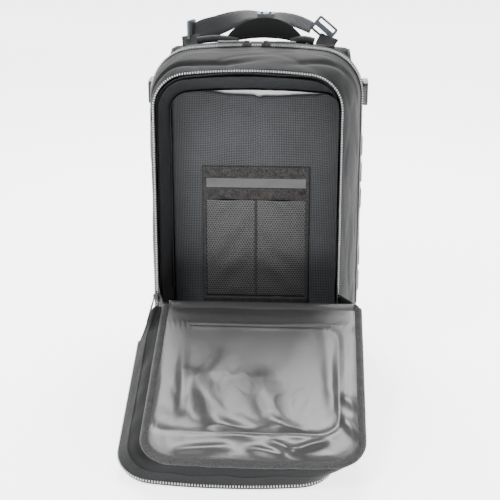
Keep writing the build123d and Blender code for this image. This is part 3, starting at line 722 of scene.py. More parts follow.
def back_pads():
    """Foam pads in spacer mesh, each crowned and pulled in at its edge."""
    low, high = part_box("back_pads")
    places = ((-0.098, -0.014, 0.128, 0.402), (0.014, 0.098, 0.128, 0.402), (-0.098, 0.098, 0.034, 0.116))
    for k, place in enumerate(places):
        pad = soft_pad(f"back_pad_{k}", *place, low.y, high.y - low.y, 22 * MM)
        if not k:
            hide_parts("back_pads")


def soft_pad(name, x0, x1, z0, z1, y, depth, corner):
    """Crowned pad across Y with quilted channels."""
    rows = [at_y(rounded_loop(x0, x1, z0, z1, corner), y - 0.5 * MM)]
    for inset, height in ((0.0, 0.35), (0.8, 0.62), (2.4, 0.82), (5.0, 0.93), (9.0, 0.99)):
        i = inset * MM
        inner = rounded_loop(x0 + i, x1 - i, z0 + i, z1 - i, corner - i)
        rows.append(at_y(inner, y + depth * height))
    middle = ((x0 + x1) / 2, (z0 + z1) / 2)
    rows += [at_y(scaled(inner, tenths / 10, middle), y + depth * 1.02) for tenths in range(9, -1, -1)]
    obj = smooth(grid(name, rows, SPACER, closed=True, flip=True))
    channel = (z1 - z0) / 4
    for v in obj.data.vertices:
        away = abs((v.co.z - z0) / channel % 1.0 - 0.5) * channel
        if z1 - z0 > 0.15 and v.co.y > y + depth * 0.5:
            v.co.y -= 2.2 * MM * bell(away, 3 * MM)
    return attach(obj, "pack")


# ---- front compartment ----
def front_gusset():
    """Outer wall between the two zippers. Its top is creased along the front zipper."""
    y0, y1 = MOUTH_REAR, MAIN_Y - 3 * MM
    a, b = mouth_loop(), main_loop(MAIN_Y)
    rows = [at_y(a * (1 - t) + b * t, y0 + (y1 - y0) * t) for t in np.linspace(0, 1, 20)]
    obj = smooth(grid("front_gusset_cloth", rows, CLOTH, closed=True, flip=True))
    displace(obj, lambda p: gusset_height(p, (p.y - y0) / (y1 - y0)))
    above_ground(obj)
    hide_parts("front_gusset")
    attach(obj, "pack")


def gusset_height(p, t):
    """How far the gusset's cloth stands out, at share t of its depth."""
    if p.z < FOOT:
        return 0.0
    height = sin(pi * within(t)) ** 0.5 * min((1 - t) / 0.3, 1) * (GUSSET_BULGE + folds(p))
    if p.z > MOUTH_TOP - 70 * MM:
        line = 0.30 + 0.05 * sin(p.x * 40)
        height -= 4.5 * MM * rise(-(p.x + 10 * MM) / (12 * MM)) * bell(t - line, 0.07)
        right = p.x - 0.085
        height -= 4.0 * MM * bell(right, 0.03) * bell(t - 0.4 - right * 5, 0.08)
    return height


def front_lining():
    """Inner wall of the front compartment, narrowing to the divider, with a tape at each end."""
    a = mouth_loop(3 * MM)
    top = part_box("front_lining")[1].z - 33.5 * MM
    b = outline(DIVIDER_HALF + 1.2 * MM, top, 26 * MM, 6 * MM, 0, 6 * MM, 12 * MM)
    depth = DIVIDER_Y - 0.4 * MM - MOUTH_REAR
    rows = [at_y(a * (1 - t) + b * t, MOUTH_REAR + depth * t) for t in np.linspace(0, 1, 16)]
    obj = smooth(grid("gusset_lining", rows, LINING, closed=True))
    displace(obj, lambda p: turbulence(p, 22, 5.0) * 1.6 * MM)
    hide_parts("front_lining")
    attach(obj, "pack")
    tapes = (("lining_seam_tape", 0.1, 11 * MM, TAPE), ("lining_rear_tape", 0.9, 9 * MM, BINDING))
    for name, t, width, material in tapes:
        loop = scaled(a * (1 - t) + b * t, 0.992, (MOUTH_X * (1 - t), 0.2))
        path = resample(at_y(arch(loop, 118 * MM), MOUTH_REAR + (DIVIDER_Y - MOUTH_REAR) * t), 4 * MM)
        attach(sweep(name, path, Y, tape_section(width, 0.8 * MM), material), "pack")


def divider():
    """Panel between the compartments, whose top edge gapes a little in the middle."""
    half, corner = DIVIDER_HALF, 22 * MM
    low, high = divider_low.z, divider_high.z + 5.2 * MM

    def point(t, x):
        over = max(abs(x) - (half - corner), 0)
        top = high - corner + sqrt(max(corner**2 - over**2, 0))
        gape = rise((x + 48 * MM) / (7 * MM)) * rise((92 * MM - x) / (7 * MM))
        top -= gape * (6.0 * MM + 0.9 * MM * sin(x * 70)) + 2.4 * MM * bell(x - 4 * MM, 4 * MM)
        z = low + (top - low) * t
        sag = 2.0 * MM * ripple(x * 11, z * 9, 1.7)
        drag = 1.2 * MM * ripple((x + z) * 26, (x - z) * 7, 4.2)
        lip = 1.4 * MM * t**12 * sin(x * 45)
        return (x, DIVIDER_Y + 0.4 * MM + sag * 0.4 + drag * 0.5 + lip * 0.4, z)

    rows = rows_of(point, np.linspace(0, 1, 90), np.linspace(-half, half, 72))
    obj = thick(grid("divider_cloth", rows, CLOTH_INNER, flip=True), 0.9 * MM)
    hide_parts("divider_panel")
    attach(obj, "pack")


def slip_lining():
    """Pale coated sheet behind the divider."""
    low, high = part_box("slip_pocket_lining")
    side, y = 22 * MM, low.y + 0.4 * MM
    rows = rows_of(lambda z, x: (x, y + 0.6 * MM * ripple(x * 20, z * 20, 9), z),
                   np.linspace(low.z, high.z - 2 * MM, 40), np.linspace(low.x + side, high.x - side, 40))
    obj = thick(grid("slip_lining", rows, PALE, flip=True), 0.5 * MM)
    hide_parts("slip_pocket_lining")
    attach(obj, "pack")


def organiser():
    """Strips, window, pockets and bound edges on the divider."""
    low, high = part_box("organiser_panel")
    strips_low, strips_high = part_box("organiser_strips")
    y = DIVIDER_Y - 0.8 * MM

    def level(z, out, end=2 * MM):
        return [(low.x + end, y - out, z), (high.x - end, y - out, z)]

    window = slab("organiser_window", low.x, high.x, 260 * MM, 284 * MM, y, 0.8 * MM, VINYL, 1.0)
    slab("organiser_back", low.x, high.x, low.z, 262 * MM, y, 0.6 * MM, LINING, 0.3)
    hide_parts("organiser_panel")
    for k, (z0, z1) in enumerate(((279 * MM, strips_high.z), (strips_low.z, 265 * MM))):
        strip = slab(f"organiser_strip_{k}", low.x, high.x, z0, z1, y - 0.9 * MM, 1.8 * MM, LOOP, 0.4)
        for z in (z0 + 1.5 * MM, z1 - 1.5 * MM):
            sewn = stitches(f"organiser_stitch_{k}_{int(z * 1e4)}", level(z, 2.0 * MM), FRONT, THREAD)
            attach(sewn, "pack")
        if not k:
            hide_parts("organiser_strips")
    for word, side in SIDES:
        mesh_pocket(word, side)
        x = side * (high.x - 2.4 * MM)
        path = resample([(x, y - 1.4 * MM, low.z + 2 * MM), (x, y - 1.4 * MM, strips_high.z)], 5 * MM)
        section = tape_section(5.4 * MM, 1.4 * MM)
        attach(sweep(f"organiser_edge_{side + 1}", path, X, section, BINDING), "pack")
    hem = resample(level(low.z + 6.5 * MM, 1.6 * MM, 0), 4 * MM)
    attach(sweep("organiser_hem", hem, Z, tape_section(12.5 * MM, 1.6 * MM), BINDING), "pack")
    for dz in mm(2.5, 10.5):
        path = level(low.z + dz, 2.5 * MM)
        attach(stitches(f"organiser_hem_stitch_{int(dz * 1e4)}", path, FRONT, THREAD), "pack")
    seam = [(0, y - 1.0 * MM, low.z + 12 * MM), (0, y - 1.0 * MM, 248 * MM)]
    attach(strap("organiser_seam", seam, X, BINDING, 4 * MM, 1.2 * MM), "pack")


def slab(name, x0, x1, z0, z1, y, depth, material, wave):
    """Thin sewn sheet facing -Y, with slight waves of the given height in millimetres."""
    rows = rows_of(lambda z, x: (x, y - abs(wave * MM * ripple(x * 30, z * 55, y * 900)), z),
                   np.linspace(z0, z1, max(int((z1 - z0) / (4 * MM)), 5)),
                   np.linspace(x0, x1, max(int((x1 - x0) / (4 * MM)), 6)))
    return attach(thick(grid(name, rows, material, flip=True), depth, 0.0), "pack")


def mesh_pocket(word, side):
    """Mesh pocket that hangs slack, with diagonal folds towards its lower outer corner."""
    low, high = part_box("mesh_pockets")
    x0, x1 = (low.x, -0.6 * MM) if side < 0 else (0.6 * MM, high.x)

    def point(z, x):
        u, v = (x - x0) / (x1 - x0), (z - low.z) / (high.z - low.z)
        slack = sin(pi * u) ** 0.7 * (0.35 + 0.65 * v) * min(v * 12, 1)
        diagonal = sin((v * 5.5 + side * u * 2.6) * pi + 1.5 * ripple(u * 3, v * 3, side))
        return (x, low.y + 7.0 * MM - slack * (3.4 * MM + 1.5 * MM * diagonal), z)

    rows = rows_of(point, np.linspace(low.z, high.z, 60), np.linspace(x0, x1, 34))
    obj = thick(grid(f"mesh_pocket_{word}", rows, MESH, flip=True), 0.5 * MM)
    if side < 0:
        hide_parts("mesh_pockets")
    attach(obj, "pack")


def open_zipper(edge, body, tape_path, row, width, across, up):
    """One edge of the open front zipper, at the mouth or on the flap: its tape and its teeth."""
    section = tape_section(width, 1.0 * MM)
    tape = sweep(f"{edge}_zip_cloth", resample(tape_path, 3 * MM), across, section, TAPE)
    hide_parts(f"{edge}_zip_tape")
    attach(tape, body)
    teeth = beads(f"{edge}_teeth", row, up, mm(1.6, 3.2, 2.2), 3.4 * MM, TEETH_PAINTED_GLINT)
    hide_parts(f"{edge}_zip_teeth")
    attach(teeth, body)


def front_zipper():
    """Tape and teeth round the mouth."""
    path = at_y(arch(mouth_loop(0.9 * MM), ZIP_LOW), (MOUTH_Y + MOUTH_REAR) / 2 + 0.2 * MM)
    row = at_y(arch(mouth_loop(0.3 * MM), ZIP_LOW), MOUTH_Y + 2.0 * MM)
    open_zipper("front", "pack", path, row, MOUTH_REAR - MOUTH_Y - 0.6 * MM, Y, FRONT)


def main_zipper():
    """Closed zipper of the main compartment: tape and two meshed rows of teeth, over the seam's cloth."""
    rows = [at_y(main_loop(MAIN_Y, 1.2 * MM), MAIN_Y + dy * MM) for dy in (-4, -2, 0, 2, 4)]
    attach(grid("main_seam_cloth", rows, CLOTH, closed=True, flip=True), "pack")
    path = resample(at_y(arch(main_loop(MAIN_Y, 0.6 * MM), main_low.z), MAIN_Y), 4 * MM)
    tape = sweep("main_zip_cloth", path, Y, tape_section(13 * MM, 1.0 * MM), TAPE)
    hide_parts("main_zip_tape")
    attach(tape, "pack")
    for k, dy in enumerate((-1.2 * MM, 1.2 * MM)):
        row = at_y(arch(main_loop(MAIN_Y, -0.05 * MM), main_low.z), MAIN_Y + dy)
        if k:
            row = resample(row, 1 * MM)[1:]
        teeth = beads(f"main_teeth_{k}", row, FRONT, mm(1.5, 2.2, 2.1), 3.3 * MM, TEETH_PAINTED_GLINT)
        if not k:
            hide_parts("main_zip_teeth")
        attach(teeth, "pack")


def lower_panel():
    """The front panel below the fold, with the short walls that join it to the mouth."""
    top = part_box("front_lower_panel")[1].z
    a = mouth_loop()
    b = outline(FLAP_HALF, MOUTH_TOP, MOUTH_CORNER, MOUTH_CROWN, FLAP_X, 0.0, LOW_CORNER)
    rows = []
    for t in np.linspace(0, 1, 12):
        loop = a * (1 - t) + b * t
        shrink = 5 * MM * max((t - 0.85) / 0.15, 0) ** 2
        loop = loop + (np.array([FLAP_X, 0.2]) - loop) * shrink / 0.13
        rows.append(at_y(arch_low(loop, top), MOUTH_REAR + (FOLD_Y - MOUTH_REAR) * t))
    walls = thick(grid("lower_walls", rows, CLOTH), 1.8 * MM)
    above_ground(walls)
    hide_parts("front_lower_panel")
    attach(walls, "pack")

    def face_point(z, t):
        drop = max(LOW_CORNER - z, 0)
        half = FLAP_HALF - 4.5 * MM - LOW_CORNER + sqrt(max(LOW_CORNER**2 - drop**2, 0))
        bulge = (1 - t**4) * sin(pi * min(z / top, 1)) ** 0.6
        wave = ripple(t * 4, z * 22, 3.3) * 1.4 * MM
        return (FLAP_X + half * t, FOLD_Y - bulge * (3.5 * MM + wave), z)

    face_rows = rows_of(face_point, np.linspace(0.6 * MM, top, 26), np.linspace(-1, 1, 44))
    face = thick(grid("lower_face", face_rows, CLOTH), 1.8 * MM)
    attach(face, "pack")


# ---- flap ----
def flap_loop(inset=0.0, low=3 * MM):
    """Outline of the flap's panel as (x across, p along) points."""
    return outline(FLAP_HALF - inset, FLAP_LENGTH - inset, FLAP_CORNER - inset, 4 * MM, FLAP_X, low, 3 * MM)


def rim_loop(inset=0.0):
    """Outline of the loose zipper edge as (x across, p along) points."""
    loop = mouth_loop(inset, x=0.0, low=0.0) * np.array([RIM_SPREAD, 1])
    return loop + np.array([MOUTH_X + RIM_MOVE.x, RIM_MOVE.z - FOLD_Z])


def with_h(loop, h):
    """Loop of (x, p) points placed at depth h under the open flap's panel."""
    return on_flap([(x, p, h) for x, p in loop])


def fan(loop, scales, heights, lift):
    """Rows that run from a loop in to its middle."""
    return [lift(scaled(loop, scale), height) for scale, height in zip(scales, heights)]


def flap_panel():
    """Stiffened outer panel, with a rolled edge."""
    rows = fan(flap_loop(), (0.0, 0.5, 0.9, 0.97, 0.995, 1.0, 0.995, 0.97, 0.9, 0.5, 0.0),
               mm(0.2, 0.2, 0.2, 0.1, 0.5, 1.3, 2.1, 2.5, 2.5, 2.5, 2.5), with_h)
    obj = grid("flap_cloth", rows, CLOTH, closed=True)
    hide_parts("flap_panel")
    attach(obj, "front_flap")


# Ridges of the lining: from (x, p) to (x, p), width and height, all in millimetres.
LINING_RIDGES = (
    (-58, 146, -30, 218, 15, 4.6), (-30, 218, 6, 236, 10, 3.5), (20, 146, 36, 214, 17, 4.4),
    (36, 214, 70, 232, 9, 4.0), (-84, 60, -74, 200, 7, 3.0), (96, 40, 108, 190, 8, 3.0),
    (-20, 60, -34, 130, 12, 3.0), (60, 60, 54, 120, 12, 3.0), (62, 262, 96, 246, 6, 5.0),
    (62, 262, 40, 248, 6, 4.5), (62, 262, 74, 272, 5, 4.0), (-70, 262, -20, 256, 7, 3.5),
    (14, 258, 42, 266, 6, 3.5), (118, 170, 136, 186, 6, 4.0), (118, 206, 136, 232, 6, 4.0),
)
SEAM_LEFT, SEAM_RIGHT, SEAM_FROM, SEAM_TO, SEAM_CORNER = mm(-114, 116, 44, 232, 26)


def lining_height(x, p):
    """Height of the loose lining over the panel: soft ridges, star folds and puckers at the stitching."""
    ridge = 0.0
    for *ends, width, high in LINING_RIDGES:
        x0, p0, x1, p1 = mm(*ends)
        dx, dp = x1 - x0, p1 - p0
        t = within(((x - x0) * dx + (p - p0) * dp) / (dx**2 + dp**2))
        away = sqrt((x - x0 - t * dx) ** 2 + (p - p0 - t * dp) ** 2)
        ridge += high * bell(away, width * MM) * (0.4 + 0.6 * sin(pi * (0.1 + 0.8 * t)))
    lower = rise((p - 118 * MM) / (12 * MM))
    broad = ripple(x * 12, p * 9, 2.0) + 0.6
    fine = max(1 - abs(ripple(x * 46, p * 30, 5.0)) * 3.4, 0)
    top_seam = 1.6 * bell(p - SEAM_FROM, 5 * MM)
    return (ridge * (0.3 + 0.7 * lower) + broad * (1.2 + 1.2 * lower) + fine * 0.45 * lower + top_seam) * MM


def seam_distance(x, p):
    """Distance to the stitched rounded rectangle, negative inside it."""
    cx, cp = (SEAM_LEFT + SEAM_RIGHT) / 2, (SEAM_FROM + SEAM_TO) / 2
    dx = abs(x - cx) - (SEAM_RIGHT - SEAM_LEFT) / 2 + SEAM_CORNER
    dp = abs(p - cp) - (SEAM_TO - SEAM_FROM) / 2 + SEAM_CORNER
    return sqrt(max(dx, 0) ** 2 + max(dp, 0) ** 2) + min(max(dx, dp), 0) - SEAM_CORNER


def flap_lining():
    """Loose coated lining, pulled down along its edge and the stitched rectangle."""
    loop = flap_loop(6 * MM, 2 * MM)
    rows = []
    for scale in np.linspace(1.0, 0.0, 80):
        border = min((1 - scale) * 14, 1) ** 0.6
        row = []
        for x, p in scaled(loop, scale, (FLAP_X, FLAP_LENGTH * 0.5)):
            tied = min(abs(seam_distance(x, p)) / (7 * MM), 1) ** 0.6
            fold_side = min(max(p - 4 * MM, 0) / (16 * MM), 1)
            height = lining_height(x, p) * tied * border * (0.25 + 0.75 * fold_side)
            row.append(flap_point(x, p, -1.1 * MM - height))
        rows.append(row)
    obj = thick(smooth(grid("flap_lining_cloth", rows, COATED, closed=True, flip=True)), 0.8 * MM, -1.0)
    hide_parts("flap_lining")
    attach(obj, "front_flap")


def flap_stitching():
    """The stitched rectangle, and the stitches along the panel's edge."""
    loop = rounded_loop(SEAM_LEFT, SEAM_RIGHT, SEAM_FROM, SEAM_TO, SEAM_CORNER, 10, 16)
    path = resample(with_h(all_round(loop), -1.3 * MM), 3 * MM)
    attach(stitches("flap_stitches", path, FLAP_UP, THREAD), "front_flap")
    edge = arch(flap_loop(10.6 * MM), 8 * MM)
    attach(stitches("flap_edge_stitches", with_h(edge, -2.0 * MM), FLAP_UP, THREAD), "front_flap")


def flap_binding():
    """Tape bound over the panel's free edges, puckered by its stitching."""
    profile = ((9.8, -0.9), (9.0, -2.1), (7.0, -2.5), (4.6, -2.6), (2.4, -2.4), (0.6, -1.4), (-0.6, 0.4),
               (-0.8, 1.6), (0.2, 2.9), (3.0, 3.4), (6.5, 3.4))
    rows = [resample_count(with_h(arch(flap_loop(inset * MM), 4 * MM), h * MM), 260) for inset, h in profile]
    obj = grid("flap_binding_tape", rows, BINDING, flip=True)
    for v in obj.data.vertices:
        v.co.z += 0.5 * MM * sin(v.co.x * 900) * noise.noise(v.co * 60) + 0.7 * MM * turbulence(v.co, 70, 1.0)
    obj = thick(obj, 0.6 * MM)
    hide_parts("flap_binding")
    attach(obj, "front_flap")


def rim_depth(p):
    """How far under the panel the loose zipper edge hangs, at distance p from the fold."""
    t = within((p - 6 * MM) / (46 * MM))
    return (3.0 + 25.5 * t * t * (3 - 2 * t)) * MM


def flap_gusset():
    """Cloth between the panel and its loose zipper edge: a shiny coated strip, made paler than the flap's
    lining as painted sheen, then a dark tape.
    """
    near = resample_count(arch(flap_loop(0.6 * MM), 5 * MM), 240)
    far = resample_count(arch(rim_loop(0.4 * MM), 8 * MM), 240)
    far[:, 0] += np.interp(far[:, 1], [8 * MM, 50 * MM], [1, 0]) * (near[:, 0] - far[:, 0]) * 0.55
    panel = 2.6 * MM

    def point(t, ends):
        (x0, p0), (x1, p1) = ends
        bow = sin(pi * t)
        wrinkle = ripple(x0 * 26, p0 * 26, t * 2.2) * 2.6 * MM * bow
        h = panel + (rim_depth(p1) - panel) * t - 2.0 * MM * bow + wrinkle
        return flap_point(x0 + (x1 - x0) * t, p0 + (p1 - p0) * t + wrinkle * 0.4, h)

    across = list(zip(near, far))
    # The coated strip's paler colour is painted sheen.
    strip = grid("flap_gusset_coated", rows_of(point, np.linspace(0.0, 0.62, 18), across), COATED_PAINTED_SHEEN)
    shiny = thick(strip, 0.7 * MM, back=CLOTH)
    dark = thick(grid("flap_gusset_tape", rows_of(point, np.linspace(0.56, 1.0, 12), across), TAPE), 0.9 * MM)
    up = Vector(flap_point(0, 0, 0)) - Vector(flap_point(0, 0, 1))
    for v in dark.data.vertices:
        v.co += up * 0.0004
    for obj in (shiny, dark):
        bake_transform(obj)
    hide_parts("flap_gusset")


def rim_zipper():
    """Tape and teeth of the flap's loose zipper edge."""
    low = 46 * MM
    path = with_h(arch(rim_loop(0.9 * MM), low), 31.6 * MM)
    row = with_h(arch(rim_loop(0.3 * MM), low), 29.2 * MM)
    open_zipper("rim", "flap_zip_rim", path, row, 8.4 * MM, FLAP_DOWN, FLAP_DOWN)


def fold_strip():
    """Cloth that rolls over the fold from the lower panel to the flap, and the lining under it."""
    for name, inset, lift, material in (("fold_cloth", 0.0, 0.0, CLOTH), ("fold_lining", 5.0, 1.6, COATED)):
        def point(t, x):
            wave = (0.5 * ripple(x * 30, t * 3, inset) + 0.2) * MM
            if inset:
                return (x, *roll_over(t, -4.0 * MM, 0.6 * MM + lift * MM + wave))
            return (x, *roll_over(t, 0.0, 0.2 * MM + wave))

        side = (inset + 3.5) * MM
        across = np.linspace(FLAP_X - FLAP_HALF + side, FLAP_X + FLAP_HALF - side, 60)
        rows = rows_of(point, np.linspace(0, 1, 14), across)
        obj = thick(grid(name, rows, material, flip=inset > 0), 1.0 * MM, 0.0)
        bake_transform(obj)


def roll_over(t, inward, height):
    """Point (y, z) on the way from the lower panel's top over the fold and onto the flap."""
    stops = with_ends([
        (FOLD_Y - inward * 1.0 + 0.4 * MM, FOLD_Z - 12 * MM), (FOLD_Y - inward * 0.6, FOLD_Z + height),
        flap_point(0, 4 * MM, -height)[1:], flap_point(0, 14 * MM, 0.4 * MM if inward else 1.6 * MM)[1:],
    ])
    span = min(int(t * 3), 2)
    return catmull_rom(stops[span:span + 4], t * 3 - span)


def zipper_ends():
    """Cloth gore at each lower end of the front zipper, drawn folded as it lies with the flap open."""
    for word, side in SIDES:
        mouth_x = MOUTH_X + side * (MOUTH_HALF - 1.0 * MM)
        panel_x = FLAP_X + side * (FLAP_HALF - 2 * MM)
        rim_x = MOUTH_X + RIM_MOVE.x + side * MOUTH_HALF
        a0 = Vector((mouth_x, MOUTH_REAR - 3 * MM, ZIP_LOW - 4 * MM))
        a1 = Vector((mouth_x, MOUTH_Y, ZIP_LOW + 30 * MM))
        b0 = Vector((panel_x, FOLD_Y + 2 * MM, FOLD_Z - 4 * MM))
        b1 = Vector(flap_point(panel_x * 0.6 + rim_x * 0.4, 22 * MM, 7 * MM))

        def point(t, s):
            q = a0.lerp(a1, s).lerp(b0.lerp(b1, s), t)
            q.z -= sin(pi * t) * s * 16 * MM
            q.x -= side * sin(pi * t) * (2 + 3 * s) * MM
            return tuple(q)

        rows = rows_of(point, np.linspace(0, 1, 16), np.linspace(0, 1, 10))
        obj = thick(grid(f"zip_gore_{word}", rows, TAPE), 1.0 * MM, 0.0)
        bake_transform(obj)


# ---- pouch ----
POUCH_LEFT, POUCH_RIGHT, POUCH_FROM, POUCH_TO = mm(-92, 94, 48, 240)
POUCH_DEPTH = 50.2 * MM
PANEL_UNDER = 2.5 * MM
POUCH_FACE = PANEL_UNDER + POUCH_DEPTH + 1.4 * MM
PATCH_LEFT, PATCH_RIGHT, PATCH_FROM, PATCH_TO = mm(-42, 30, 189, 205)


def pouch():
    """Deep pouch on the outside of the flap: a soft box with piped edges."""
    loop = rounded_loop(POUCH_LEFT, POUCH_RIGHT, POUCH_FROM, POUCH_TO, 24 * MM, 8, 14)
    depths = (0.0, 0.06, 0.2, 0.4, 0.6, 0.8, 0.92, 0.98, 1.0, 1.0, 1.0, 1.0, 1.0, 1.0)
    scales = (1.0, 1.0, 1.012, 1.018, 1.018, 1.012, 1.0, 0.975, 0.93, 0.8, 0.6, 0.4, 0.2, 0.0)
    rows = fan(loop, scales, [PANEL_UNDER + POUCH_DEPTH * depth for depth in depths], with_h)
    obj = smooth(grid("pouch_cloth", rows, CLOTH, closed=True, flip=True))
    displace(obj, lambda p: turbulence(p, 24, 9.0) * 1.8 * MM)
    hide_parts("pouch_shell")
    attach(obj, "front_flap")
    for name, scale, depth in (("pouch_piping_face", 0.965, 0.985), ("pouch_piping_base", 1.004, 0.02)):
        ring = scaled(all_round(loop), scale, loop.mean(0))
        path = resample(with_h(ring, PANEL_UNDER + POUCH_DEPTH * depth), 4 * MM)
        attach(sweep(name, path, FLAP_DOWN, round_section(1.7 * MM), BINDING), "front_flap")


def pouch_zipper():
    """Zipper along the pouch's far wall."""
    h, wall = PANEL_UNDER + 30 * MM, POUCH_TO + 2.6 * MM
    x0, x1 = POUCH_LEFT + 26 * MM, POUCH_RIGHT - 26 * MM
    path = resample(on_flap([(x0, wall, h), (x1, wall, h)]), 5 * MM)
    tape = sweep("pouch_zip_cloth", path, FLAP_DOWN, tape_section(16 * MM, 0.8 * MM), TAPE)
    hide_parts("pouch_zip")
    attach(tape, "front_flap")
    for k, dh in enumerate((-1.15 * MM, 1.15 * MM)):
        row = on_flap([(x0 + (2 + k * 1.2) * MM, wall, h + dh), (x1 - 2 * MM, wall, h + dh)])
        size = mm(1.4, 2.2, 1.2)
        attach(beads(f"pouch_teeth_{k}", row, -FLAP_DOWN, size, 2.4 * MM, TEETH_PAINTED_GLINT, 0.3 * MM), "front_flap")


def pouch_webbing():
    """MOLLE rows on the pouch's face, held down by bar tacks."""
    under, over = POUCH_FACE - 0.9 * MM, POUCH_FACE + 0.2 * MM
    tacks = np.linspace(POUCH_LEFT + 10 * MM, POUCH_RIGHT - 10 * MM, 6)
    for k in range(4):
        p = POUCH_TO - 8.5 * MM - WEB_WIDTH / 2 - k * 44 * MM
        points = []
        for a, b in zip(tacks[:-1], tacks[1:]):
            points += [(a, p, under), ((a * 3 + b) / 4, p, POUCH_FACE), ((a + 3 * b) / 4, p, POUCH_FACE)]
        points.append((tacks[-1], p, under))
        web = strap(f"pouch_molle_{k}", on_flap(points), FLAP_ALONG, WEB, depth=1.3 * MM)
        if not k:
            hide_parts("pouch_molle")
        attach(web, "front_flap")
        for i, x in enumerate(tacks):
            line = on_flap([(x, p - 11 * MM, over), (x, p + 11 * MM, over)])
            tack = stitches(f"pouch_tack_{k}_{i}", line, FLAP_DOWN, THREAD, *mm(1.6, 0.4, 0.6))
            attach(tack, "front_flap")


def blank_patch():
    """Blank patch of loop tape with a red edge."""
    rows = rows_of(lambda p, x: flap_point(x, p, POUCH_FACE - 0.4 * MM),
                   np.linspace(PATCH_FROM, PATCH_TO, 6), np.linspace(PATCH_LEFT, PATCH_RIGHT, 14))
    patch = thick(grid("blank_patch", rows, LOOP), 1.0 * MM, 0.0)
    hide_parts("id_patch")
    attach(patch, "front_flap")
    edge = rounded_loop(PATCH_LEFT, PATCH_RIGHT, PATCH_FROM, PATCH_TO, 2 * MM, 3, 6)
    path = resample(with_h(all_round(edge), POUCH_FACE), 2.5 * MM)
    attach(sweep("patch_edging", path, FLAP_DOWN, round_section(0.9 * MM, 6), RED), "front_flap")


# ---- straps, handle and webbing ----
STRAP_THICK = 11 * MM
TURN_Y, TURN_Z, TURN_R = mm(134, 425.5, 9.5)
STRAP_END_X, STRAP_END_Y, STRAP_END_Z = mm(77, 139.5, 172)
HANG_TO = 300 * MM
TAIL_R = (TURN_R**2 + (HANG_TO - STRAP_END_Z) ** 2) / (2 * TURN_R)
STRAP_SECTION = ((0.0, 0.0), (0.015, 0.62), (0.08, 0.86), (0.2, 0.93), (0.35, 1.0), (0.5, 1.0),
                 (0.65, 1.0), (0.8, 0.93), (0.92, 0.86), (0.985, 0.62), (1.0, 0.0))


def strap_line(lift):
    """The strap's run in (y, z), lift above its inner face, with the outward direction at each point."""
    points = []
    for a in np.radians(np.linspace(180, 0, 14)):
        points.append((TURN_Y + (TURN_R + lift) * cos(a), TURN_Z + (TURN_R + lift) * sin(a), cos(a), sin(a)))
    for z in np.linspace(TURN_Z, HANG_TO, 22)[1:]:
        points.append((TURN_Y + TURN_R + lift, z, 1, 0))
    lean = np.arcsin((HANG_TO - STRAP_END_Z) / TAIL_R)
    for a in np.linspace(0, lean, 18)[1:]:
        y = TURN_Y + TURN_R - TAIL_R + (TAIL_R + lift) * cos(a)
        points.append((y, HANG_TO - (TAIL_R + lift) * sin(a), cos(a), -sin(a)))
    return points


def circle_x(a, b, c, z):
    """x at height z on the arc through three (x, z) points in millimetres."""
    (ax, az), (bx, bz), (cx, cz) = a, b, c
    a2, b2, c2 = ax**2 + az**2, bx**2 + bz**2, cx**2 + cz**2
    d = 2 * (ax * (bz - cz) + bx * (cz - az) + cx * (az - bz))
    ux = (a2 * (bz - cz) + b2 * (cz - az) + c2 * (az - bz)) / d
    uz = (a2 * (cx - bx) + b2 * (ax - cx) + c2 * (bx - ax)) / d
    r2 = (ax - ux) ** 2 + (az - uz) ** 2
    side = 1 if bx > ux else -1
    return (ux + side * sqrt(r2 - (z / MM - uz) ** 2)) * MM


def strap_edges(z):
    """The strap's inner and outer edge, as x at height z."""
    z = within(z, 160 * MM, 460 * MM)
    near = circle_x((56, 460), (64, 320), (52, 160), z)
    far = circle_x((124, 460), (132, 290), (102, 160), z)
    return near, far


def strap_row(side, point, shape):
    """Closed cross-section of a strap through (across, out) points, across running from 0 to 1."""
    y, z, ny, nz = point
    near, far = strap_edges(z)
    return [(side * (near + (far - near) * u), y + ny * out, z + nz * out) for u, out in shape]


def shoulder_strap(word, side):
    """Padded strap with bound edges, and the webbing and keepers on it."""
    body = f"strap_{word}"
    half = STRAP_THICK / 2
    shape = [(u, -half * k) for u, k in STRAP_SECTION] + [(u, half * k) for u, k in STRAP_SECTION[-2:0:-1]]
    line = strap_line(half)
    rows = [strap_row(side, q, shape) for q in line]
    cap = [scaled(np.array(rows[0]), k) for k in (0.0, 0.5)]
    tail = [scaled(np.array(rows[-1]), k) for k in (0.5, 0.0)]
    obj = smooth(grid(f"shoulder_{word}", [*cap, *rows, *tail], CLOTH, closed=True, flip=side < 0))
    displace(obj, lambda p: turbulence(p, 40, 2.0) * 0.8 * MM)
    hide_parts(f"strap_pad_{word}")
    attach(obj, body)
    out = [(0, ny, nz) for y, z, ny, nz in line]
    for k, name in enumerate(("near", "far")):
        path = [(side * strap_edges(z)[k], y, z) for y, z, ny, nz in line]
        edge = sweep(f"shoulder_edge_{name}_{word}", path, out, round_section(2.6 * MM, 10), BINDING)
        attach(edge, body)
    outer = strap_line(STRAP_THICK + 0.7 * MM)
    path = [(side * (sum(strap_edges(z)) / 2), y, z) for y, z, ny, nz in outer[10:]]
    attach(sweep(f"shoulder_web_{word}", path, X, tape_section(WEB_WIDTH, 1.3 * MM), WEB), body)
    keeper_y = TURN_Y + TURN_R + STRAP_THICK + 1.0 * MM
    x = side * 92 * MM
    for k, z in enumerate(mm(372, 318)):
        points = [(x, keeper_y, z - 12 * MM), (x, keeper_y + 0.6 * MM, z), (x, keeper_y, z + 12 * MM)]
        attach(strap(f"keeper_{word}_{k}", points, X, WEB_DARK, 22 * MM, 1.2 * MM), body)


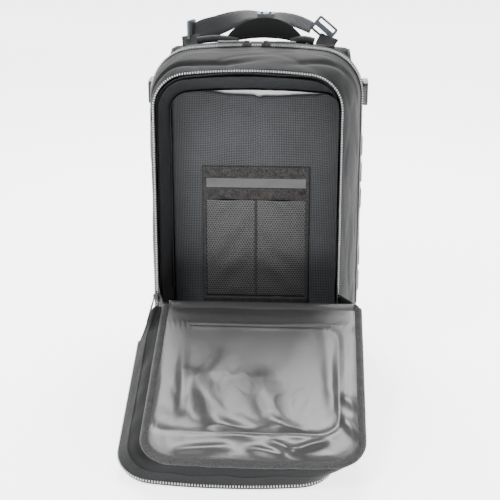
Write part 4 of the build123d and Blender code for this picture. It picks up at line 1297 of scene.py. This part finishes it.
def lower_webbing(word, side):
    """Webbing from a strap's adjuster down to the tab at the bottom of the back."""
    top = Vector((side * STRAP_END_X, STRAP_END_Y, STRAP_END_Z - 20 * MM))
    low = Vector((side * 116 * MM, BACK_Y + 10 * MM, 50 * MM))
    points = [top.lerp(low, t) + Vector((0, 1.5 * MM * sin(pi * t), 0)) for t in np.linspace(0, 1, 7)]
    obj = strap(f"lower_web_{word}", points, (1, 0, 0.3 * side), WEB)
    if side < 0:
        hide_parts("lower_webbings")
    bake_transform(obj)


def anchor_tab(word, side):
    """Padded four-sided tab in the lower corner of the back."""
    corners = [(side * x, z) for x, z in (mm(88, 18), mm(139, 18), mm(139, 60), mm(124, 60))]
    loop = np.concatenate([run(corners[k - 1], corners[k], 8) for k in (1, 2, 3, 0)])
    rows = fan(loop, (1.0, 1.0, 0.96, 0.8, 0.5, 0.0), mm(0.5, 7.5, 9.0, 9.6, 10.0, 10.0),
               lambda points, out: at_y(points, BACK_Y + out))
    obj = grid(f"anchor_tab_{word}", rows, CLOTH, closed=True, flip=side > 0)
    if side < 0:
        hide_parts("anchor_tabs")
    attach(obj, "pack")


def haul_handle():
    """Wide flat grab loop, leaning back on the top seam."""
    base = Vector((7 * MM, 103 * MM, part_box("haul_handle")[0].z + 0.2 * MM))
    half, height, lean = 60 * MM, 37 * MM, radians(10)
    rows = []
    for t in np.linspace(0, 1, 12):
        top, span = height + (7 * MM - height) * t, half - 10 * MM * t
        r = (span**2 + top**2) / (2 * top)
        reach = atan2(span, r - top)
        crown = 1.0 * MM * sin(pi * t)
        row = []
        for a in np.linspace(-reach, reach, 60):
            up = r * cos(a) - r + top
            y = base.y + up * sin(lean) - 1.5 * MM - crown
            row.append((base.x + r * sin(a), y, base.z + up * cos(lean)))
        rows.append(row)
    obj = smooth(thick(grid("haul_loop", rows, HANDLE, flip=True), 3.4 * MM))
    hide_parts("haul_handle")
    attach(obj, "haul_handle")


# The yoke's two webbings: name, width, and points of x, z and tilt in millimetres and degrees.
YOKE = (
    ("yoke_web_left", 30 * MM,
     ((-99, 461, 58), (-84, 470, 66), (-64, 475.5, 68), (-42, 483.5, 52), (-20, 490.5, 24), (1, 490.5, 12))),
    ("yoke_web_right", 26 * MM, ((15, 490.5, 12), (33, 487.5, 30), (54, 482, 40), (74, 473.5, 38))),
)


def yoke():
    """Webbing over the shoulders, its seam anchors and the sleeves on the handle's feet."""
    for k, (name, width, points) in enumerate(YOKE):
        stops = [(x * MM, 127 * MM, z * MM, radians(tilt) * 0.01) for x, z, tilt in points]
        line = smooth_path(stops, 3 * MM)
        tilt = line[:, 3] * 100
        across = np.stack([np.zeros(len(line)), np.cos(tilt), np.sin(tilt)], 1)
        web = sweep(name, line[:, :3], across, tape_section(width, 2.0 * MM), WEB)
        if not k:
            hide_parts("yoke_webbings")
        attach(web, "pack")
    for k, (x, shift) in enumerate((mm(-98, -2), mm(94, 6))):
        points = [(x, 106 * MM, 448 * MM), (x, 112 * MM, 452.5 * MM), (x + shift, 121 * MM, 462 * MM)]
        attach(strap(f"yoke_anchor_{k}", points, X, WEB_DARK, 28 * MM, 1.8 * MM, 2 * MM), "pack")
    for k, (x0, x1) in enumerate(((-90, -30), (44, 78))):
        path = [mm(x0 + (x1 - x0) * t, 104, 457 + 3 * sin(pi * t)) for t in (0, 0.25, 0.5, 0.75, 1)]
        sleeve = sweep(f"handle_sleeve_{k}", smooth_path(path, 2 * MM), Y, round_section(5.2 * MM, 12), WEB)
        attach(sleeve, "pack")


SIDE_WALL = MAIN_HALF + 0.5 * MM
SIDE_STRAP_Z = 392 * MM
BUCKLE_X = MAIN_HALF + 6.8 * MM
MOLLE_X = SIDE_WALL + 3.4 * MM
MOLLE_LEVELS = mm(120, 158, 244, 282, 320)


def side_straps():
    """Compression strap on each side wall: rear webbing, and front webbing that runs out to the plug."""
    for word, side in SIDES:
        def at(*places):
            return [(side * x, y * MM, SIDE_STRAP_Z) for x, y in places]

        rear = at((BUCKLE_X, 90), (BUCKLE_X, 94), (SIDE_WALL + 4 * MM, 99), (SIDE_WALL + 1.5 * MM, 105))
        rear_web = strap(f"side_web_{word}", rear, Z, WEB)
        front = at((SIDE_WALL + 1.2 * MM, 28), (SIDE_WALL + 2.4 * MM, 34), (BUCKLE_X, 45), (BUCKLE_X, 49))
        front_web = strap(f"side_front_{word}", front, Z, WEB_DARK)
        if side < 0:
            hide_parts("side_webbing")
            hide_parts("side_front_webbing")
        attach(rear_web, "pack")
        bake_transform(front_web)
        side_molle(word, side)


def side_molle(word, side):
    """MOLLE rows on a side wall, pressed in at their ends and bar tacks."""
    profile = ((30, 1.4), (38, 0), (50, 0), (57, 1.0), (64, 0), (76, 0), (83, 1.0), (92, 0), (100, 1.6))
    for k, z in enumerate(MOLLE_LEVELS):
        points = [(side * MOLLE_X - side * depth * MM, y * MM, z) for y, depth in profile]
        web = strap(f"side_molle_{word}_{k}", points, Z, WEB, depth=1.3 * MM)
        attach(web, "pack")


def sternum(word):
    """Webbing of the chest strap on one shoulder strap."""
    low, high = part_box(f"sternum_webbing_{word}")
    x, y = (low.x + high.x) / 2, (low.y + high.y) / 2
    points = [(x, y, high.z), (x, y, (low.z + high.z) / 2), (x, y, low.z + 1 * MM)]
    obj = strap(f"sternum_web_{word}", points, X, WEB, 20 * MM, 1.4 * MM)
    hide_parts(f"sternum_webbing_{word}")
    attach(obj, f"sternum_{word}")


# ---- carried-over CAD nodes ----
def dress(material, *nodes):
    """Give CAD nodes a better material."""
    for name in nodes:
        mesh = frame["nodes"][name].data
        mesh.materials.clear()
        mesh.materials.append(material)


def both(*names):
    """The left and right node of each name."""
    return [f"{name}_{word}" for name in names for word, side in SIDES]


def dress_nodes():
    dress(METAL, "pouch_slider", "pouch_pull",
          *both("main_slider", "main_pull", "front_slider", "front_pull", "d_ring"))
    dress(PLASTIC, "side_sockets", *both("side_plug", "strap_adjuster", "sternum_buckle"))
    dress(PLASTIC_BLUE, "yoke_adjusters")
    dress(SHEET_PLASTIC, "frame_sheet")
    dress(LINING, "base_pad", "hydration_sleeve")


# ---- stage ----
def aim(obj, direction):
    """Turn a lamp or camera to look along a direction, and add it to the scene."""
    obj.rotation_euler = direction.to_track_quat("-Z", "Y").to_euler()
    bpy.context.scene.collection.objects.link(obj)


def studio():
    """Paper sweep, even surroundings and three soft lamps."""
    rows = []
    for t in np.linspace(0, 1, 30):
        a = within((t - 0.5) * 3) * pi / 2
        y = -4.0 + 8.0 * min(t / 0.5, 1) if t < 0.5 else 4.0 + 1.5 * sin(a)
        z = 0.0 if t < 0.5 else 1.5 * (1 - cos(a)) + max(t - 0.84, 0) * 20
        rows.append([(x, y, z) for x in np.linspace(-6, 6, 12)])
    grid("studio_floor", rows, plain_stage("studio_paper", 0.92, 3.0))
    world = bpy.data.worlds.new("studio")
    bpy.context.scene.world = world
    world.use_nodes = True
    surroundings = world.node_tree.nodes["Background"]
    surroundings.inputs["Color"].default_value = (1, 1, 1, 1)
    surroundings.inputs["Strength"].default_value = 0.5
    target = Vector((0, -0.1, 0.25))
    for name, spot, size, watts in (
        ("key", (-0.9, -1.6, 2.0), 0.8, 55), ("fill", (1.7, -1.5, 1.2), 1.2, 18),
        ("top", (0.0, 0.95, 2.15), 1.3, 110),
    ):
        lamp = bpy.data.lights.new(name, "AREA")
        lamp.size = size
        lamp.energy = watts
        obj = bpy.data.objects.new(name, lamp)
        obj.location = spot
        aim(obj, target - Vector(spot))


def camera():
    """Camera placed and turned as worked out from the photograph."""
    data = bpy.data.cameras.new("photo_camera")
    data.lens = 83.4
    data.sensor_width = 36
    obj = bpy.data.objects.new("photo_camera", data)
    pitch, yaw = radians(17.8), radians(3.22)
    obj.location = (0.080, -1.564, 0.679)
    aim(obj, Vector((-sin(yaw) * cos(pitch), cos(yaw) * cos(pitch), -sin(pitch))))
    bpy.context.scene.camera = obj


# ---- the pack ----
for build in (
    camera, studio, pack_shell, back_face, shell_piping, back_pads, front_gusset, front_lining, divider,
    slip_lining, organiser, front_zipper, main_zipper, lower_panel, fold_strip, zipper_ends, flap_panel,
    flap_lining, flap_stitching, flap_binding, flap_gusset, rim_zipper, pouch, pouch_zipper, pouch_webbing,
    blank_patch, haul_handle, yoke, side_straps,
):
    build()
for word, side in SIDES:
    shoulder_strap(word, side)
    lower_webbing(word, side)
    anchor_tab(word, side)
    sternum(word)
dress_nodes()
